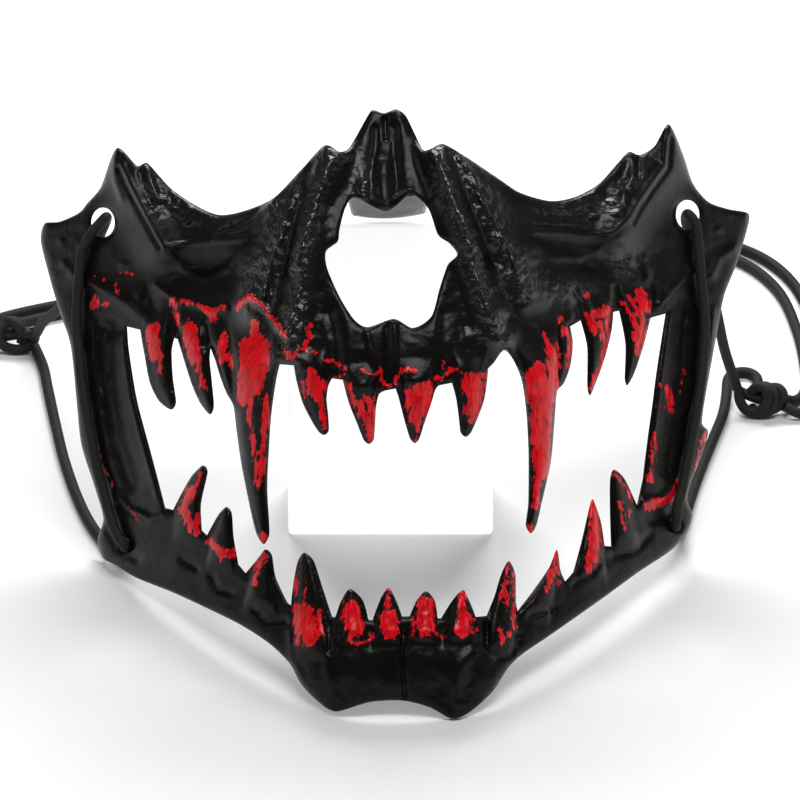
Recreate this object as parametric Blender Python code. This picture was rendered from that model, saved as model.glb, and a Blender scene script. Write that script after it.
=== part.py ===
"""Fanged skull half mask with an elastic cord strap, leaning on a plain display block.

The mask is one moulded piece.  It is designed in its own upright frame, in millimetres: X to
the viewer's right, Z up and Y back into the mask.  Its outline, its openings and its teeth are
drawn in the X-Z plane, and a set of depth rules bends that flat pattern into the skull shape.
"""
import math

import bmesh
import bpy
import numpy as np
from mathutils import Vector
from mathutils.geometry import delaunay_2d_cdt

MM = 0.001

BLACK_PLASTIC, PLASTIC_ROUGHNESS = (0.012, 0.012, 0.013), 0.32
WHITE_ACRYLIC, ACRYLIC_ROUGHNESS = (0.86, 0.87, 0.88), 0.12
BLACK_ELASTIC, ELASTIC_ROUGHNESS = (0.02, 0.02, 0.02), 0.85

# Placement: the mask leans back on its chin and jaw corners, a little uneven.
LEAN = math.radians(31.0)
ROLL = math.radians(1.8)
MASK_ORIGIN = (0.0, -28.8, 73.7)

# Moulding: wall in the middle and at the edges, and how far in the edges are rounded.
WALL = 2.6
EDGE_WALL = 1.2
EDGE_ROUND = 3.0
STEEPEST = 2.4
# Spacing of the surface's corners.
EDGE_STEP = 3.0
TOOTH_STEPS = 4
FIELD_STEP = 5.5
CLEAR_OF_EDGE = 0.8

# Plan shape: how far the sides sweep back from the flat front, above and below the mouth, and
# the heights between which one shape turns into the other.
UPPER_FLAT, UPPER_HALF, UPPER_SWEEP, UPPER_POWER = 12.0, 100.0, 82.0, 1.35
LOWER_FLAT, LOWER_HALF, LOWER_SWEEP, LOWER_POWER = 14.0, 83.0, 70.0, 1.45
JAW_BLEND = (-34.0, 8.0)
# Swells of the front: depth forward, height of the middle, its reach up and down, and the
# half widths between which it fades out.
MUZZLE = (6.0, 14.0, 22.0, 35.0, 70.0)
CHIN = (3.0, -70.0, 9.0, 20.0, 34.0)
# The bridge and the two eye scoops lean back: depth, heights they start and end, half widths.
BRIDGE_BACK, BRIDGE_RISE, BRIDGE_FADE = 13.0, (45.0, 88.0), (18.0, 40.0)
SCOOP_BACK, SCOOP_RISE, SCOOP_MIDDLE, SCOOP_HALF = 9.0, (44.0, 66.0), 47.0, 16.0

# Outline, clockwise from the notch on top of the nose bridge.
OUTLINE = [
    (-0.4, 85.2), (3.0, 86.2), (5.8, 84.1), (10.2, 74.4), (12.3, 74.6), (16.0, 75.9), (23.5, 71.3),
    (31.8, 65.4), (37.4, 61.6), (45.8, 59.1), (52.9, 60.1), (60.1, 63.9), (68.4, 72.4), (71.7, 71.5),
    (76.0, 73.9), (80.3, 80.0), (84.2, 71.4), (86.8, 63.2), (91.2, 57.8), (97.0, 55.6), (102.6, 54.3),
    (102.4, 50.6), (98.9, 40.3), (94.9, 31.1), (92.6, 21.2), (88.3, 1.5), (87.3, -5.3), (89.0, -7.6),
    (87.1, -14.1), (84.0, -21.1), (82.4, -26.7), (83.8, -31.0), (82.3, -35.6), (78.3, -40.2),
    (73.8, -43.2), (68.0, -46.6), (56.5, -54.2), (42.0, -63.5), (34.2, -68.3), (29.9, -72.0),
    (24.9, -78.9), (18.6, -84.2), (13.5, -86.1), (7.3, -82.7), (-0.3, -80.5), (-9.6, -80.6),
    (-19.2, -83.0), (-24.0, -80.3), (-28.9, -75.0), (-31.8, -69.3), (-37.4, -63.5), (-45.8, -57.8),
    (-56.9, -52.1), (-65.3, -48.1), (-75.1, -44.0), (-80.9, -40.2), (-84.5, -38.1), (-85.9, -32.8),
    (-84.0, -27.1), (-86.0, -18.6), (-89.6, -5.7), (-90.6, 7.1), (-91.8, 22.7), (-94.8, 32.7),
    (-97.4, 42.7), (-99.5, 52.7), (-98.3, 57.6), (-93.9, 58.0), (-88.3, 60.2), (-85.5, 63.1),
    (-81.7, 67.2), (-76.6, 78.1), (-70.9, 72.9), (-68.0, 73.6), (-60.3, 65.1), (-47.8, 58.1),
    (-33.5, 61.6), (-24.8, 69.5), (-17.5, 76.6), (-13.3, 74.6), (-10.6, 75.6), (-5.2, 84.4),
    (-3.6, 86.2),
]
NOSE_HOLE = [
    (-9.5, 61.6), (-0.7, 57.4), (6.3, 61.9), (11.1, 57.9), (13.7, 50.3), (16.9, 47.7), (18.9, 44.5),
    (16.2, 41.8), (13.7, 35.3), (11.1, 27.4), (5.8, 24.3), (0.5, 27.0), (-6.9, 24.9), (-10.6, 27.1),
    (-14.6, 33.8), (-17.8, 41.9), (-18.0, 46.6), (-14.6, 49.3), (-14.0, 52.6), (-12.2, 58.6),
]
# Strap holes: centre, half width and half height.
STRAP_HOLES = [((-81.3, 57.3), 3.4, 4.2), ((85.0, 54.3), 3.4, 4.2),
               ((-78.0, -35.3), 2.4, 3.0), ((78.4, -33.8), 2.3, 3.0)]
HOLE_SIDES = 10

# Inner edges of the two struts, from the jaw up to the cheek and from the cheek down.
LEFT_STRUT = [(-66.0, -24.3), (-69.8, -7.8), (-73.1, 6.5), (-75.0, 20.8), (-75.3, 27.4)]
RIGHT_STRUT = [(77.7, 26.3), (76.5, 20.0), (74.6, 10.0), (73.0, 0.0), (71.3, -10.0), (69.7, -20.5)]
# Teeth along each gum line: base start, tip, base end.
UPPER_TEETH = [
    [(-71.6, 26.4), (-70.7, 20.0), (-69.3, 11.4), (-66.8, 6.0), (-63.4, 3.4), (-61.9, 5.4),
     (-62.6, 12.5), (-62.7, 20.0), (-61.8, 23.7)],
    [(-60.9, 23.4), (-59.9, 19.6), (-57.4, 10.8), (-55.0, 5.0), (-52.3, 1.7), (-51.1, 4.0),
     (-51.5, 11.5), (-51.9, 17.5), (-51.5, 20.4)],
    [(-50.4, 17.2), (-49.1, 12.4), (-47.4, 7.6), (-45.6, 4.0), (-44.9, -3.0), (-43.9, -12.0),
     (-42.2, -22.5), (-40.3, -32.0), (-38.2, -35.4), (-36.5, -32.4), (-36.7, -20.0), (-36.0, -10.0),
     (-34.8, 1.5), (-33.2, 10.5), (-32.0, 15.2)],
    [(-28.0, 15.0), (-20.0, -4.8), (-18.1, 11.2)],
    [(-14.1, 10.0), (-7.6, -7.7), (-4.1, 7.2)],
    [(1.2, 7.6), (5.1, -8.1), (11.2, 8.0)],
    [(16.5, 8.8), (19.6, -6.9), (26.4, 10.0)],
    [(28.4, 13.9), (31.2, 17.2), (33.5, 14.9), (35.9, 9.0), (37.0, 0.0), (37.3, -12.0),
     (36.8, -26.0), (35.9, -32.4), (37.3, -34.7), (38.9, -32.4), (41.3, -23.6), (43.6, -14.5),
     (44.9, -4.0), (46.0, 5.2), (48.0, 7.4), (50.0, 12.4), (50.9, 18.5), (50.3, 23.4)],
    [(53.3, 25.0), (54.9, 17.5), (54.6, 6.0), (55.3, 3.7), (57.0, 7.0), (60.0, 14.5), (62.1, 22.0),
     (62.8, 27.2)],
    [(64.4, 27.4), (65.9, 18.0), (65.4, 8.2), (66.0, 6.2), (68.0, 9.2), (71.0, 17.0), (73.4, 25.2)],
]
LOWER_TEETH = [
    [(67.8, -27.8), (64.5, -20.2), (61.5, -17.4), (60.3, -20.5), (60.0, -30.0), (60.0, -39.2)],
    [(58.2, -39.0), (57.3, -32.0), (55.2, -25.6), (53.7, -29.6), (51.8, -36.8), (49.0, -46.0)],
    [(46.6, -48.6), (45.4, -45.6), (44.5, -39.5), (42.2, -44.4), (37.6, -50.6), (32.8, -56.4)],
    [(32.4, -54.0), (32.5, -46.0), (30.8, -42.2), (28.6, -45.6), (26.3, -52.2), (24.0, -57.4)],
    [(21.0, -57.6), (19.5, -53.6), (17.6, -49.9), (14.6, -52.6), (11.2, -57.6)],
    [(10.2, -57.6), (9.6, -52.8), (7.2, -49.9), (4.6, -52.2), (2.3, -56.8)],
    [(0.2, -56.8), (-1.4, -52.0), (-3.3, -48.6), (-5.5, -51.2), (-8.2, -57.6)],
    [(-9.3, -57.4), (-10.7, -51.9), (-14.2, -48.6), (-16.8, -51.8), (-18.6, -56.4)],
    [(-19.5, -56.3), (-22.0, -47.8), (-24.2, -40.4), (-26.8, -38.0), (-28.8, -40.6), (-30.4, -48.0),
     (-31.0, -52.8)],
    [(-32.0, -52.0), (-35.1, -44.8), (-36.0, -38.4), (-37.8, -36.8), (-40.6, -40.0), (-43.6, -43.4)],
    [(-45.6, -40.8), (-46.7, -33.0), (-47.0, -26.4), (-48.4, -24.5), (-50.8, -26.6), (-54.3, -32.4)],
    [(-55.7, -31.0), (-55.7, -23.5), (-53.5, -14.4), (-54.8, -12.6), (-58.2, -15.6), (-61.7, -21.2),
     (-63.8, -25.0)],
]
TOOTH_BELLY = 0.10

# Crests that stand proud of the plate: points, height and half width.
CRESTS = [
    ([(-15.3, 73.9), (-22.2, 61.1), (-24.4, 45.0), (-27.1, 30.6), (-29.8, 17.9)], 6.0, 5.0),
    ([(-30.4, 61.9), (-32.5, 48.9), (-36.2, 39.7), (-38.6, 30.0)], 4.5, 4.5),
    ([(13.9, 73.5), (17.8, 61.8), (21.7, 49.5), (23.7, 40.6), (27.0, 28.9), (30.1, 20.9)], 6.0, 4.5),
    ([(19.6, 73.4), (24.9, 63.0), (29.2, 53.5), (34.0, 44.8), (37.5, 33.0)], 5.0, 5.0),
    ([(-75.6, 76.0), (-70.8, 64.6), (-66.9, 55.1), (-64.2, 49.6)], 6.0, 5.5),
    ([(80.1, 78.8), (78.7, 68.7), (72.8, 62.3), (68.4, 56.0), (65.1, 50.7)], 6.0, 5.5),
]
CHEEK_HOLLOWS = [((-54.0, 42.5), 12.0, 5.0), ((56.0, 42.0), 12.0, 5.0)]
HOLLOW_DEPTH = 4.0

# Nose rest: a plate that runs back from above the nose hole.
REST_HALF = 12.0
REST_FRONT, REST_BACK = (4.0, 62.5), (33.5, 56.4)
REST_WALL = 2.4
REST_SAG = 1.2
REST_TAPER = 0.12
REST_CELLS = (6, 8)

# Display block, in world millimetres: lowest and highest corner.
BLOCK_LOW, BLOCK_HIGH = (-30.6, 26.8, 0.0), (28.0, 54.8, 103.4)
BLOCK_EDGE = 1.2

# Elastic strap.  Knot lumps: centre and half sizes, in world millimetres.
CORD_RADIUS = 1.5
CORD_GAP = 0.45
CORD_STEP = 5.2
KNOTS = {"knot_left": ((-111.0, 131.3, 4.9), (6.2, 5.0, 4.7)),
         "knot_right": ((105.4, 94.5, 4.9), (6.2, 5.0, 4.7))}
# Each side cord runs from the knot to the back of the upper hole, down the front of the strut
# and from the back of the lower hole to the knot.  The ends are world points; the stretch over
# the front is given by X and Z on the mask, which it lies against.
SIDE_CORDS = {
    "side_cord_left": (
        [(-104.5, 127.5, 6.6), (-103.6, 124.6, 9.4), (-101.5, 114.5, 19.0), (-96.5, 99.0, 33.0),
         (-91.5, 84.0, 50.0), (-87.0, 70.0, 67.5), (-83.9, 61.5, 80.0), (-82.4, 56.9, 86.6),
         (-82.5, 51.6, 90.6)],
        [(-85.2, 53.6), (-87.4, 49.4), (-88.8, 41.1), (-89.8, 29.7), (-89.3, 20.0), (-88.9, 12.7),
         (-87.8, 4.0), (-86.6, -4.4), (-85.3, -12.0), (-83.7, -18.6), (-82.2, -25.0),
         (-80.6, -30.4)],
        [(-76.9, 2.8, 10.9), (-76.6, 8.6, 7.6), (-78.0, 12.8, 3.6), (-81.7, 18.0, 1.8),
         (-86.6, 29.5, 1.6), (-90.9, 45.0, 1.6), (-95.0, 66.0, 1.6), (-97.8, 86.0, 1.6),
         (-100.2, 105.0, 1.6), (-101.8, 118.0, 1.6), (-104.5, 128.6, 2.2)],
    ),
    "side_cord_right": (
        [(98.6, 96.4, 7.2), (97.2, 95.5, 12.5), (94.6, 91.5, 24.0), (92.0, 85.0, 41.0),
         (89.3, 78.0, 54.0), (86.5, 70.0, 67.0), (83.9, 62.5, 79.5), (82.8, 57.8, 86.4),
         (83.4, 53.4, 90.8)],
        [(87.3, 51.0), (87.8, 44.0), (88.2, 37.0), (88.7, 29.7), (88.9, 22.4), (88.4, 15.1),
         (87.4, 7.7), (86.1, 0.4), (84.7, -6.8), (82.6, -16.2), (81.0, -23.2), (79.4, -28.8)],
        [(79.9, 6.6, 15.8), (79.8, 11.2, 13.0), (80.3, 17.0, 9.0), (81.8, 26.0, 3.0),
         (84.5, 44.0, 1.6), (87.6, 60.0, 1.6), (91.2, 76.5, 1.6), (94.4, 91.0, 1.6),
         (95.6, 102.0, 1.6), (96.0, 109.6, 1.6), (96.8, 112.6, 1.6), (98.5, 114.5, 1.6),
         (100.5, 115.1, 1.6), (102.5, 114.5, 1.6), (104.1, 112.7, 1.6), (104.8, 109.6, 1.7),
         (104.7, 105.0, 2.6), (104.5, 101.6, 3.6)],
    ),
}
# The two strands that pass behind the head, laid round behind the block.
BACK_CORDS = {
    "back_cord_a": [
        (112.4, 92.3, 3.6), (117.0, 91.5, 1.8), (122.0, 97.0, 1.6), (123.5, 115.0, 1.6),
        (121.5, 140.0, 1.6), (116.0, 165.0, 1.6), (105.0, 182.0, 1.6), (88.0, 191.0, 1.6),
        (60.0, 194.5, 1.6), (20.0, 190.0, 1.6), (-20.0, 181.0, 1.6), (-58.0, 168.0, 1.6),
        (-90.0, 156.0, 1.6), (-110.0, 148.0, 1.6), (-120.0, 141.5, 1.6), (-123.4, 135.0, 1.8),
        (-118.8, 129.4, 3.6)],
    "back_cord_b": [
        (112.4, 96.6, 3.4), (115.6, 98.8, 1.8), (118.2, 104.0, 1.6), (118.6, 116.0, 1.6),
        (116.6, 138.0, 1.6), (111.4, 161.0, 1.6), (101.0, 177.4, 1.6), (86.0, 185.6, 1.6),
        (60.0, 189.6, 1.6), (20.0, 185.2, 1.6), (-20.0, 176.2, 1.6), (-58.0, 163.2, 1.6),
        (-88.0, 151.8, 1.6), (-104.0, 145.0, 1.6), (-111.5, 141.4, 1.6), (-116.4, 138.0, 1.8),
        (-118.2, 134.4, 3.2)],
}


def smooth_step(low, high, value):
    t = np.clip((value - low) / (high - low), 0.0, 1.0)
    return t * t * (3.0 - 2.0 * t)


def bell(offset, width):
    return np.exp(-(offset / width) ** 2)


def distance_to_path(x, z, path, closed=False):
    """Distance in the X-Z plane from each point to a line of points."""
    pts = np.array(path)
    ends = np.roll(pts, -1, axis=0) if closed else pts[1:]
    starts = pts if closed else pts[:-1]
    best = np.full(x.shape, 1.0e9)
    for (ax, az), (bx, bz) in zip(starts, ends):
        dx, dz = bx - ax, bz - az
        t = np.clip(((x - ax) * dx + (z - az) * dz) / (dx * dx + dz * dz + 1.0e-9), 0.0, 1.0)
        best = np.minimum(best, np.hypot(x - ax - t * dx, z - az - t * dz))
    return best


def sweep(across, flat, half, depth, power):
    return depth * (np.clip(across - flat, 0.0, None) / (half - flat)) ** power


def depth_at(x, z):
    """Y of the plate's middle surface at each point of the flat pattern."""
    across = np.abs(x)
    upper = sweep(across, UPPER_FLAT, UPPER_HALF, UPPER_SWEEP, UPPER_POWER)
    lower = sweep(across, LOWER_FLAT, LOWER_HALF, LOWER_SWEEP, LOWER_POWER)
    y = lower + (upper - lower) * smooth_step(*JAW_BLEND, z)
    for forward, middle, reach, near, far in (MUZZLE, CHIN):
        y -= forward * bell(z - middle, reach) * (1.0 - smooth_step(near, far, across))
    y += BRIDGE_BACK * smooth_step(*BRIDGE_RISE, z) * (1.0 - smooth_step(*BRIDGE_FADE, across))
    y += SCOOP_BACK * smooth_step(*SCOOP_RISE, z) * bell(across - SCOOP_MIDDLE, SCOOP_HALF)
    for path, height, width in CRESTS:
        y -= height * bell(distance_to_path(x, z, path), width)
    for (cx, cz), half_x, half_z in CHEEK_HOLLOWS:
        y += HOLLOW_DEPTH * bell(np.hypot((x - cx) / half_x, (z - cz) / half_z), 1.0)
    return y


def slope_at(x, z):
    """How much longer the wall is along Y than square to the surface."""
    step = 1.0
    gx = (depth_at(x + step, z) - depth_at(x - step, z)) / (2.0 * step)
    gz = (depth_at(x, z + step) - depth_at(x, z - step)) / (2.0 * step)
    return np.minimum(np.sqrt(1.0 + gx * gx + gz * gz), STEEPEST)


def smooth_loop(points, step):
    """A closed curve through the points, sampled about every step."""
    pull = 0.42
    pts = [Vector(p) for p in points]
    count = len(pts)
    out = []
    for i in range(count):
        p0, p1, p2, p3 = (pts[(i + k - 1) % count] for k in range(4))
        cuts = max(1, round((p2 - p1).length / step))
        for j in range(cuts):
            t = j / cuts
            tangent_a, tangent_b = (p2 - p0) * pull, (p3 - p1) * pull
            reach = (p2 - p1).length
            tangent_a *= min(1.0, reach / max(tangent_a.length, 1.0e-6))
            tangent_b *= min(1.0, reach / max(tangent_b.length, 1.0e-6))
            h00, h10 = 2 * t ** 3 - 3 * t ** 2 + 1, t ** 3 - 2 * t ** 2 + t
            h01, h11 = 3 * t ** 2 - 2 * t ** 3, t ** 3 - t ** 2
            out.append(tuple(p1 * h00 + tangent_a * h10 + p2 * h01 + tangent_b * h11))
    return out


def tooth_outline(points):
    """A tooth's edge; one given by base, tip and base alone has softly bellied sides."""
    if len(points) > 3:
        return list(points)
    base_a, tip, base_b = (Vector(p) for p in points)
    out = []
    for start, end in ((base_a, tip), (tip, base_b)):
        run = end - start
        bow = Vector((run.y, -run.x)) * (2.0 * TOOTH_BELLY)
        for i in range(TOOTH_STEPS):
            s = i / TOOTH_STEPS
            out.append(tuple(start + run * s + bow * (s * (1.0 - s))))
    out.append(tuple(base_b))
    return out


def mouth_loop():
    loop = list(LEFT_STRUT)
    for tooth in UPPER_TEETH:
        loop += tooth_outline(tooth)
    loop += RIGHT_STRUT
    for tooth in LOWER_TEETH:
        loop += tooth_outline(tooth)
    return loop


def oval(centre, half_x, half_z):
    turn = [2.0 * math.pi * i / HOLE_SIDES for i in range(HOLE_SIDES)]
    return [(centre[0] + half_x * math.cos(a), centre[1] + half_z * math.sin(a)) for a in turn]


def inside(x, z, loop):
    """Even-odd test of points against a closed loop."""
    hit = np.zeros(x.shape, dtype=bool)
    for (ax, az), (bx, bz) in zip(loop, loop[1:] + loop[:1]):
        if az == bz:
            continue
        crosses = (az > z) != (bz > z)
        hit ^= crosses & (x < (bx - ax) * (z - az) / (bz - az) + ax)
    return hit


def tooth_axes():
    """Points down the middle of each tooth, which carry its rounded crown."""
    out = []
    for tooth in UPPER_TEETH + LOWER_TEETH:
        mid = (Vector(tooth[0]) + Vector(tooth[-1])) * 0.5
        run = Vector(tooth[len(tooth) // 2]) - mid
        steps = max(2, round(run.length / 5.0))
        out += [tuple(mid + run * (i / steps)) for i in range(1, steps)]
    return out


def field_points(loops):
    """A grid of points inside the pattern and clear of its edges."""
    (left, low), (right, high) = np.min(loops[0], axis=0), np.max(loops[0], axis=0)
    grid = []
    for i, z in enumerate(np.arange(low, high, FIELD_STEP * math.sqrt(0.75))):
        shift = FIELD_STEP * 0.5 if i % 2 else 0.0
        grid += [(x + shift, z) for x in np.arange(left, right, FIELD_STEP)]
    for path, _, _ in CRESTS:
        grid += path
    axes = tooth_axes()
    x, z = np.array(grid).T
    keep = inside(x, z, loops[0])
    clear = np.full(x.shape, 1.0e9)
    for loop in loops:
        clear = np.minimum(clear, distance_to_path(x, z, loop, closed=True))
    for loop in loops[1:]:
        keep &= ~inside(x, z, loop)
    keep &= clear > EDGE_STEP * CLEAR_OF_EDGE
    return [tuple(p) for p, k in zip(grid, keep) if k] + axes


def pattern_mesh(loops):
    """Triangles of the flat pattern: its corners and their faces."""
    verts, edges = [], []
    for loop in loops:
        first = len(verts)
        verts += [Vector(p) for p in loop]
        edges += [(first + i, first + (i + 1) % len(loop)) for i in range(len(loop))]
    verts += [Vector(p) for p in field_points(loops)]
    out, _, faces, _, _, _ = delaunay_2d_cdt(verts, edges, [], 0, 1.0e-5)
    flat = np.array([tuple(v) for v in out])
    tris = np.array([f for f in faces if len(f) == 3])
    mid = flat[tris].mean(axis=1)
    keep = inside(mid[:, 0], mid[:, 1], loops[0])
    for loop in loops[1:]:
        keep &= ~inside(mid[:, 0], mid[:, 1], loop)
    return flat, tris[keep]


def world(x, y, z):
    """A point of the mask's own frame where the leaning mask puts it, in metres."""
    rx = x * math.cos(ROLL) - z * math.sin(ROLL)
    rz = x * math.sin(ROLL) + z * math.cos(ROLL)
    ry = y * math.cos(LEAN) + rz * math.sin(LEAN)
    up = rz * math.cos(LEAN) - y * math.sin(LEAN)
    ox, oy, oz = MASK_ORIGIN
    return Vector(((rx + ox) * MM, (ry + oy) * MM, (up + oz) * MM))


def finish_mesh(name, bm, colour, roughness):
    bmesh.ops.recalc_face_normals(bm, faces=bm.faces)
    mesh = bpy.data.meshes.new(name)
    bm.to_mesh(mesh)
    bm.free()
    obj = bpy.data.objects.new(name, mesh)
    bpy.context.collection.objects.link(obj)
    paint(obj, colour, roughness)
    return obj


def paint(obj, colour, roughness):
    material = bpy.data.materials.new(obj.name)
    material.use_nodes = True
    shader = material.node_tree.nodes["Principled BSDF"]
    shader.inputs["Base Color"].default_value = (*colour, 1.0)
    shader.inputs["Roughness"].default_value = roughness
    shader.inputs["Metallic"].default_value = 0.0
    obj.data.materials.append(material)


def mask_shell():
    """The moulded plate with its teeth: a front and a back surface joined round every edge."""
    loops = [smooth_loop(OUTLINE, EDGE_STEP), mouth_loop(), smooth_loop(NOSE_HOLE, EDGE_STEP)]
    loops += [oval(*hole) for hole in STRAP_HOLES]
    flat, tris = pattern_mesh(loops)
    x, z = flat[:, 0], flat[:, 1]
    clear = np.full(x.shape, 1.0e9)
    for loop in loops:
        clear = np.minimum(clear, distance_to_path(x, z, loop, closed=True))
    round_off = np.clip(clear / EDGE_ROUND, 0.0, 1.0)
    crown = np.sqrt(1.0 - (1.0 - round_off) ** 2)
    half = 0.5 * (EDGE_WALL + (WALL - EDGE_WALL) * crown) * slope_at(x, z)
    middle = depth_at(x, z)
    used = sorted(set(tris.ravel().tolist()))
    bm = bmesh.new()
    front = {i: bm.verts.new(world(x[i], middle[i] - half[i], z[i])) for i in used}
    back = {i: bm.verts.new(world(x[i], middle[i] + half[i], z[i])) for i in used}
    rim = {}
    for a, b, c in tris.tolist():
        bm.faces.new((front[a], front[b], front[c]))
        bm.faces.new((back[c], back[b], back[a]))
        for edge in ((a, b), (b, c), (c, a)):
            if (edge[1], edge[0]) in rim:
                del rim[(edge[1], edge[0])]
            else:
                rim[edge] = True
    for a, b in rim:
        bm.faces.new((front[b], front[a], back[a]))
        bm.faces.new((front[b], back[a], back[b]))
    return finish_mesh("mask", bm, BLACK_PLASTIC, PLASTIC_ROUGHNESS)


def nose_rest():
    """The plate that carries the mask on the wearer's nose, and here on the block."""
    cells_x, cells_y = REST_CELLS
    bm = bmesh.new()
    layers = []
    for lift in (0.5 * REST_WALL, -0.5 * REST_WALL):
        layer = []
        for j in range(cells_y + 1):
            t = j / cells_y
            for i in range(cells_x + 1):
                u = 2.0 * i / cells_x - 1.0
                y = REST_FRONT[0] + (REST_BACK[0] - REST_FRONT[0]) * t
                z = REST_FRONT[1] + (REST_BACK[1] - REST_FRONT[1]) * t + REST_SAG * u * u
                layer.append(bm.verts.new(world(u * REST_HALF * (1.0 - REST_TAPER * t), y, z + lift)))
        layers.append(layer)
    top, low = layers
    width = cells_x + 1
    for j in range(cells_y):
        for i in range(cells_x):
            a, b = j * width + i, j * width + i + 1
            c, d = b + width, a + width
            bm.faces.new((top[a], top[b], top[c], top[d]))
            bm.faces.new((low[d], low[c], low[b], low[a]))
    ring = [i for i in range(width)] + [j * width + cells_x for j in range(1, cells_y + 1)]
    ring += [cells_y * width + i for i in range(cells_x - 1, -1, -1)]
    ring += [j * width for j in range(cells_y - 1, 0, -1)]
    for a, b in zip(ring, ring[1:] + ring[:1]):
        bm.faces.new((top[b], top[a], low[a], low[b]))
    bmesh.ops.triangulate(bm, faces=bm.faces)
    rest = finish_mesh("nose_rest_tool", bm, BLACK_PLASTIC, PLASTIC_ROUGHNESS)
    rest.hide_render = True
    rest.display_type = "WIRE"
    return rest


def build_mask():
    mask = mask_shell()
    join = mask.modifiers.new("nose_rest", "BOOLEAN")
    join.operation = "UNION"
    join.solver = "EXACT"
    join.object = nose_rest()
    return mask


def build_block():
    low, high = Vector(BLOCK_LOW) * MM, Vector(BLOCK_HIGH) * MM
    bm = bmesh.new()
    bmesh.ops.create_cube(bm, size=1.0)
    for vert in bm.verts:
        vert.co = Vector([low[k] + (vert.co[k] + 0.5) * (high[k] - low[k]) for k in range(3)])
    block = finish_mesh("display_block", bm, WHITE_ACRYLIC, ACRYLIC_ROUGHNESS)
    edges = block.modifiers.new("edges", "BEVEL")
    edges.width = BLOCK_EDGE * MM
    edges.segments = 2
    edges.limit_method = "ANGLE"
    return block


def resample(points, step):
    """Points at an even step along a smooth curve through the route's own points."""
    pts = [points[0] * 2.0 - points[1]] + points + [points[-1] * 2.0 - points[-2]]
    fine = []
    for i in range(1, len(pts) - 2):
        p0, p1, p2, p3 = pts[i - 1:i + 3]
        for j in range(16):
            t = j / 16
            fine.append(0.5 * (2.0 * p1 + (p2 - p0) * t + (2.0 * p0 - 5.0 * p1 + 4.0 * p2 - p3) * t ** 2
                               + (3.0 * p1 - p0 - 3.0 * p2 + p3) * t ** 3))
    fine.append(points[-1])
    along = [0.0]
    for a, b in zip(fine, fine[1:]):
        along.append(along[-1] + (b - a).length)
    count = max(2, round(along[-1] / step))
    coords = np.array([tuple(p) for p in fine])
    marks = np.linspace(0.0, along[-1], count + 1)
    return np.column_stack([np.interp(marks, along, coords[:, k]) for k in range(3)])


def cord_tube(name, points):
    path = resample(points, CORD_STEP * MM)
    curve = bpy.data.curves.new(name, "CURVE")
    curve.dimensions = "3D"
    curve.bevel_depth = CORD_RADIUS * MM
    curve.bevel_resolution = 2
    curve.use_fill_caps = True
    spline = curve.splines.new("POLY")
    spline.points.add(len(path) - 1)
    for point, place in zip(spline.points, path):
        point.co = (*place, 1.0)
    obj = bpy.data.objects.new(name, curve)
    bpy.context.collection.objects.link(obj)
    paint(obj, BLACK_ELASTIC, ELASTIC_ROUGHNESS)
    return obj


def strand_over(points):
    """World points of a strand lying against the front of the mask."""
    x, z = np.array(points).T
    off = (0.5 * WALL + CORD_GAP + CORD_RADIUS) * slope_at(x, z)
    return [world(*p) for p in zip(x, depth_at(x, z) - off, z)]


def build_cords():
    for name, (down, front, back) in SIDE_CORDS.items():
        route = [Vector(p) * MM for p in down] + strand_over(front) + [Vector(p) * MM for p in back]
        cord_tube(name, route)
    for name, route in BACK_CORDS.items():
        cord_tube(name, [Vector(p) * MM for p in route])


def build_knots():
    for name, (centre, half) in KNOTS.items():
        bm = bmesh.new()
        bmesh.ops.create_icosphere(bm, subdivisions=2, radius=1.0)
        for vert in bm.verts:
            vert.co = Vector([(centre[k] + vert.co[k] * half[k]) * MM for k in range(3)])
        finish_mesh(name, bm, BLACK_ELASTIC, ELASTIC_ROUGHNESS)


def main():
    for obj in list(bpy.data.objects):
        bpy.data.objects.remove(obj)
    build_mask()
    build_block()
    build_cords()
    build_knots()


main()
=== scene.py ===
"""Looks of the fanged half mask: its sculpted moulding, brushed enamel, elastic strap and stage."""
import math

import bmesh
import bpy
import numpy as np
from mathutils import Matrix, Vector, noise
from mathutils.geometry import delaunay_2d_cdt

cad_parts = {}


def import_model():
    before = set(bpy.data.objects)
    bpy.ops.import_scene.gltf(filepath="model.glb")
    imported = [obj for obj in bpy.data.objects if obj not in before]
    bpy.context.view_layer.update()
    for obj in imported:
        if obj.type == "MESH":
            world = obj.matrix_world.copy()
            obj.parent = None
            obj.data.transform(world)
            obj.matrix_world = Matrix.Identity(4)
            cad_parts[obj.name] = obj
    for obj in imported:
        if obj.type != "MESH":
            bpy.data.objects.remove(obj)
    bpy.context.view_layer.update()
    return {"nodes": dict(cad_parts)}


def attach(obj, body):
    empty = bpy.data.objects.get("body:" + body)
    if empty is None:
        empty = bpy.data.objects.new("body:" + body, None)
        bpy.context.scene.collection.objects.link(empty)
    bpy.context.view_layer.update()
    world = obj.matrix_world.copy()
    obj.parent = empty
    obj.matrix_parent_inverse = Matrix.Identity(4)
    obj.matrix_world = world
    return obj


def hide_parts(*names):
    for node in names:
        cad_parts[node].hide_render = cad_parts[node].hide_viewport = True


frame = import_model()

MM = 0.001

# Where the mask stands: its own upright frame (millimetres, X right, Z up, Y back) to the world.
LEAN = math.radians(31.0)
ROLL = math.radians(1.8)
MASK_ORIGIN = (0.0, -28.8, 73.7)

# Camera: square to the mask's own front, from far away.
VIEW_MIDDLE = (1.4, 3.3, 59.3)
VIEW_WIDTH = 226.6
VIEW_DISTANCE = 6000.0
SENSOR = 36.0

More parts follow.
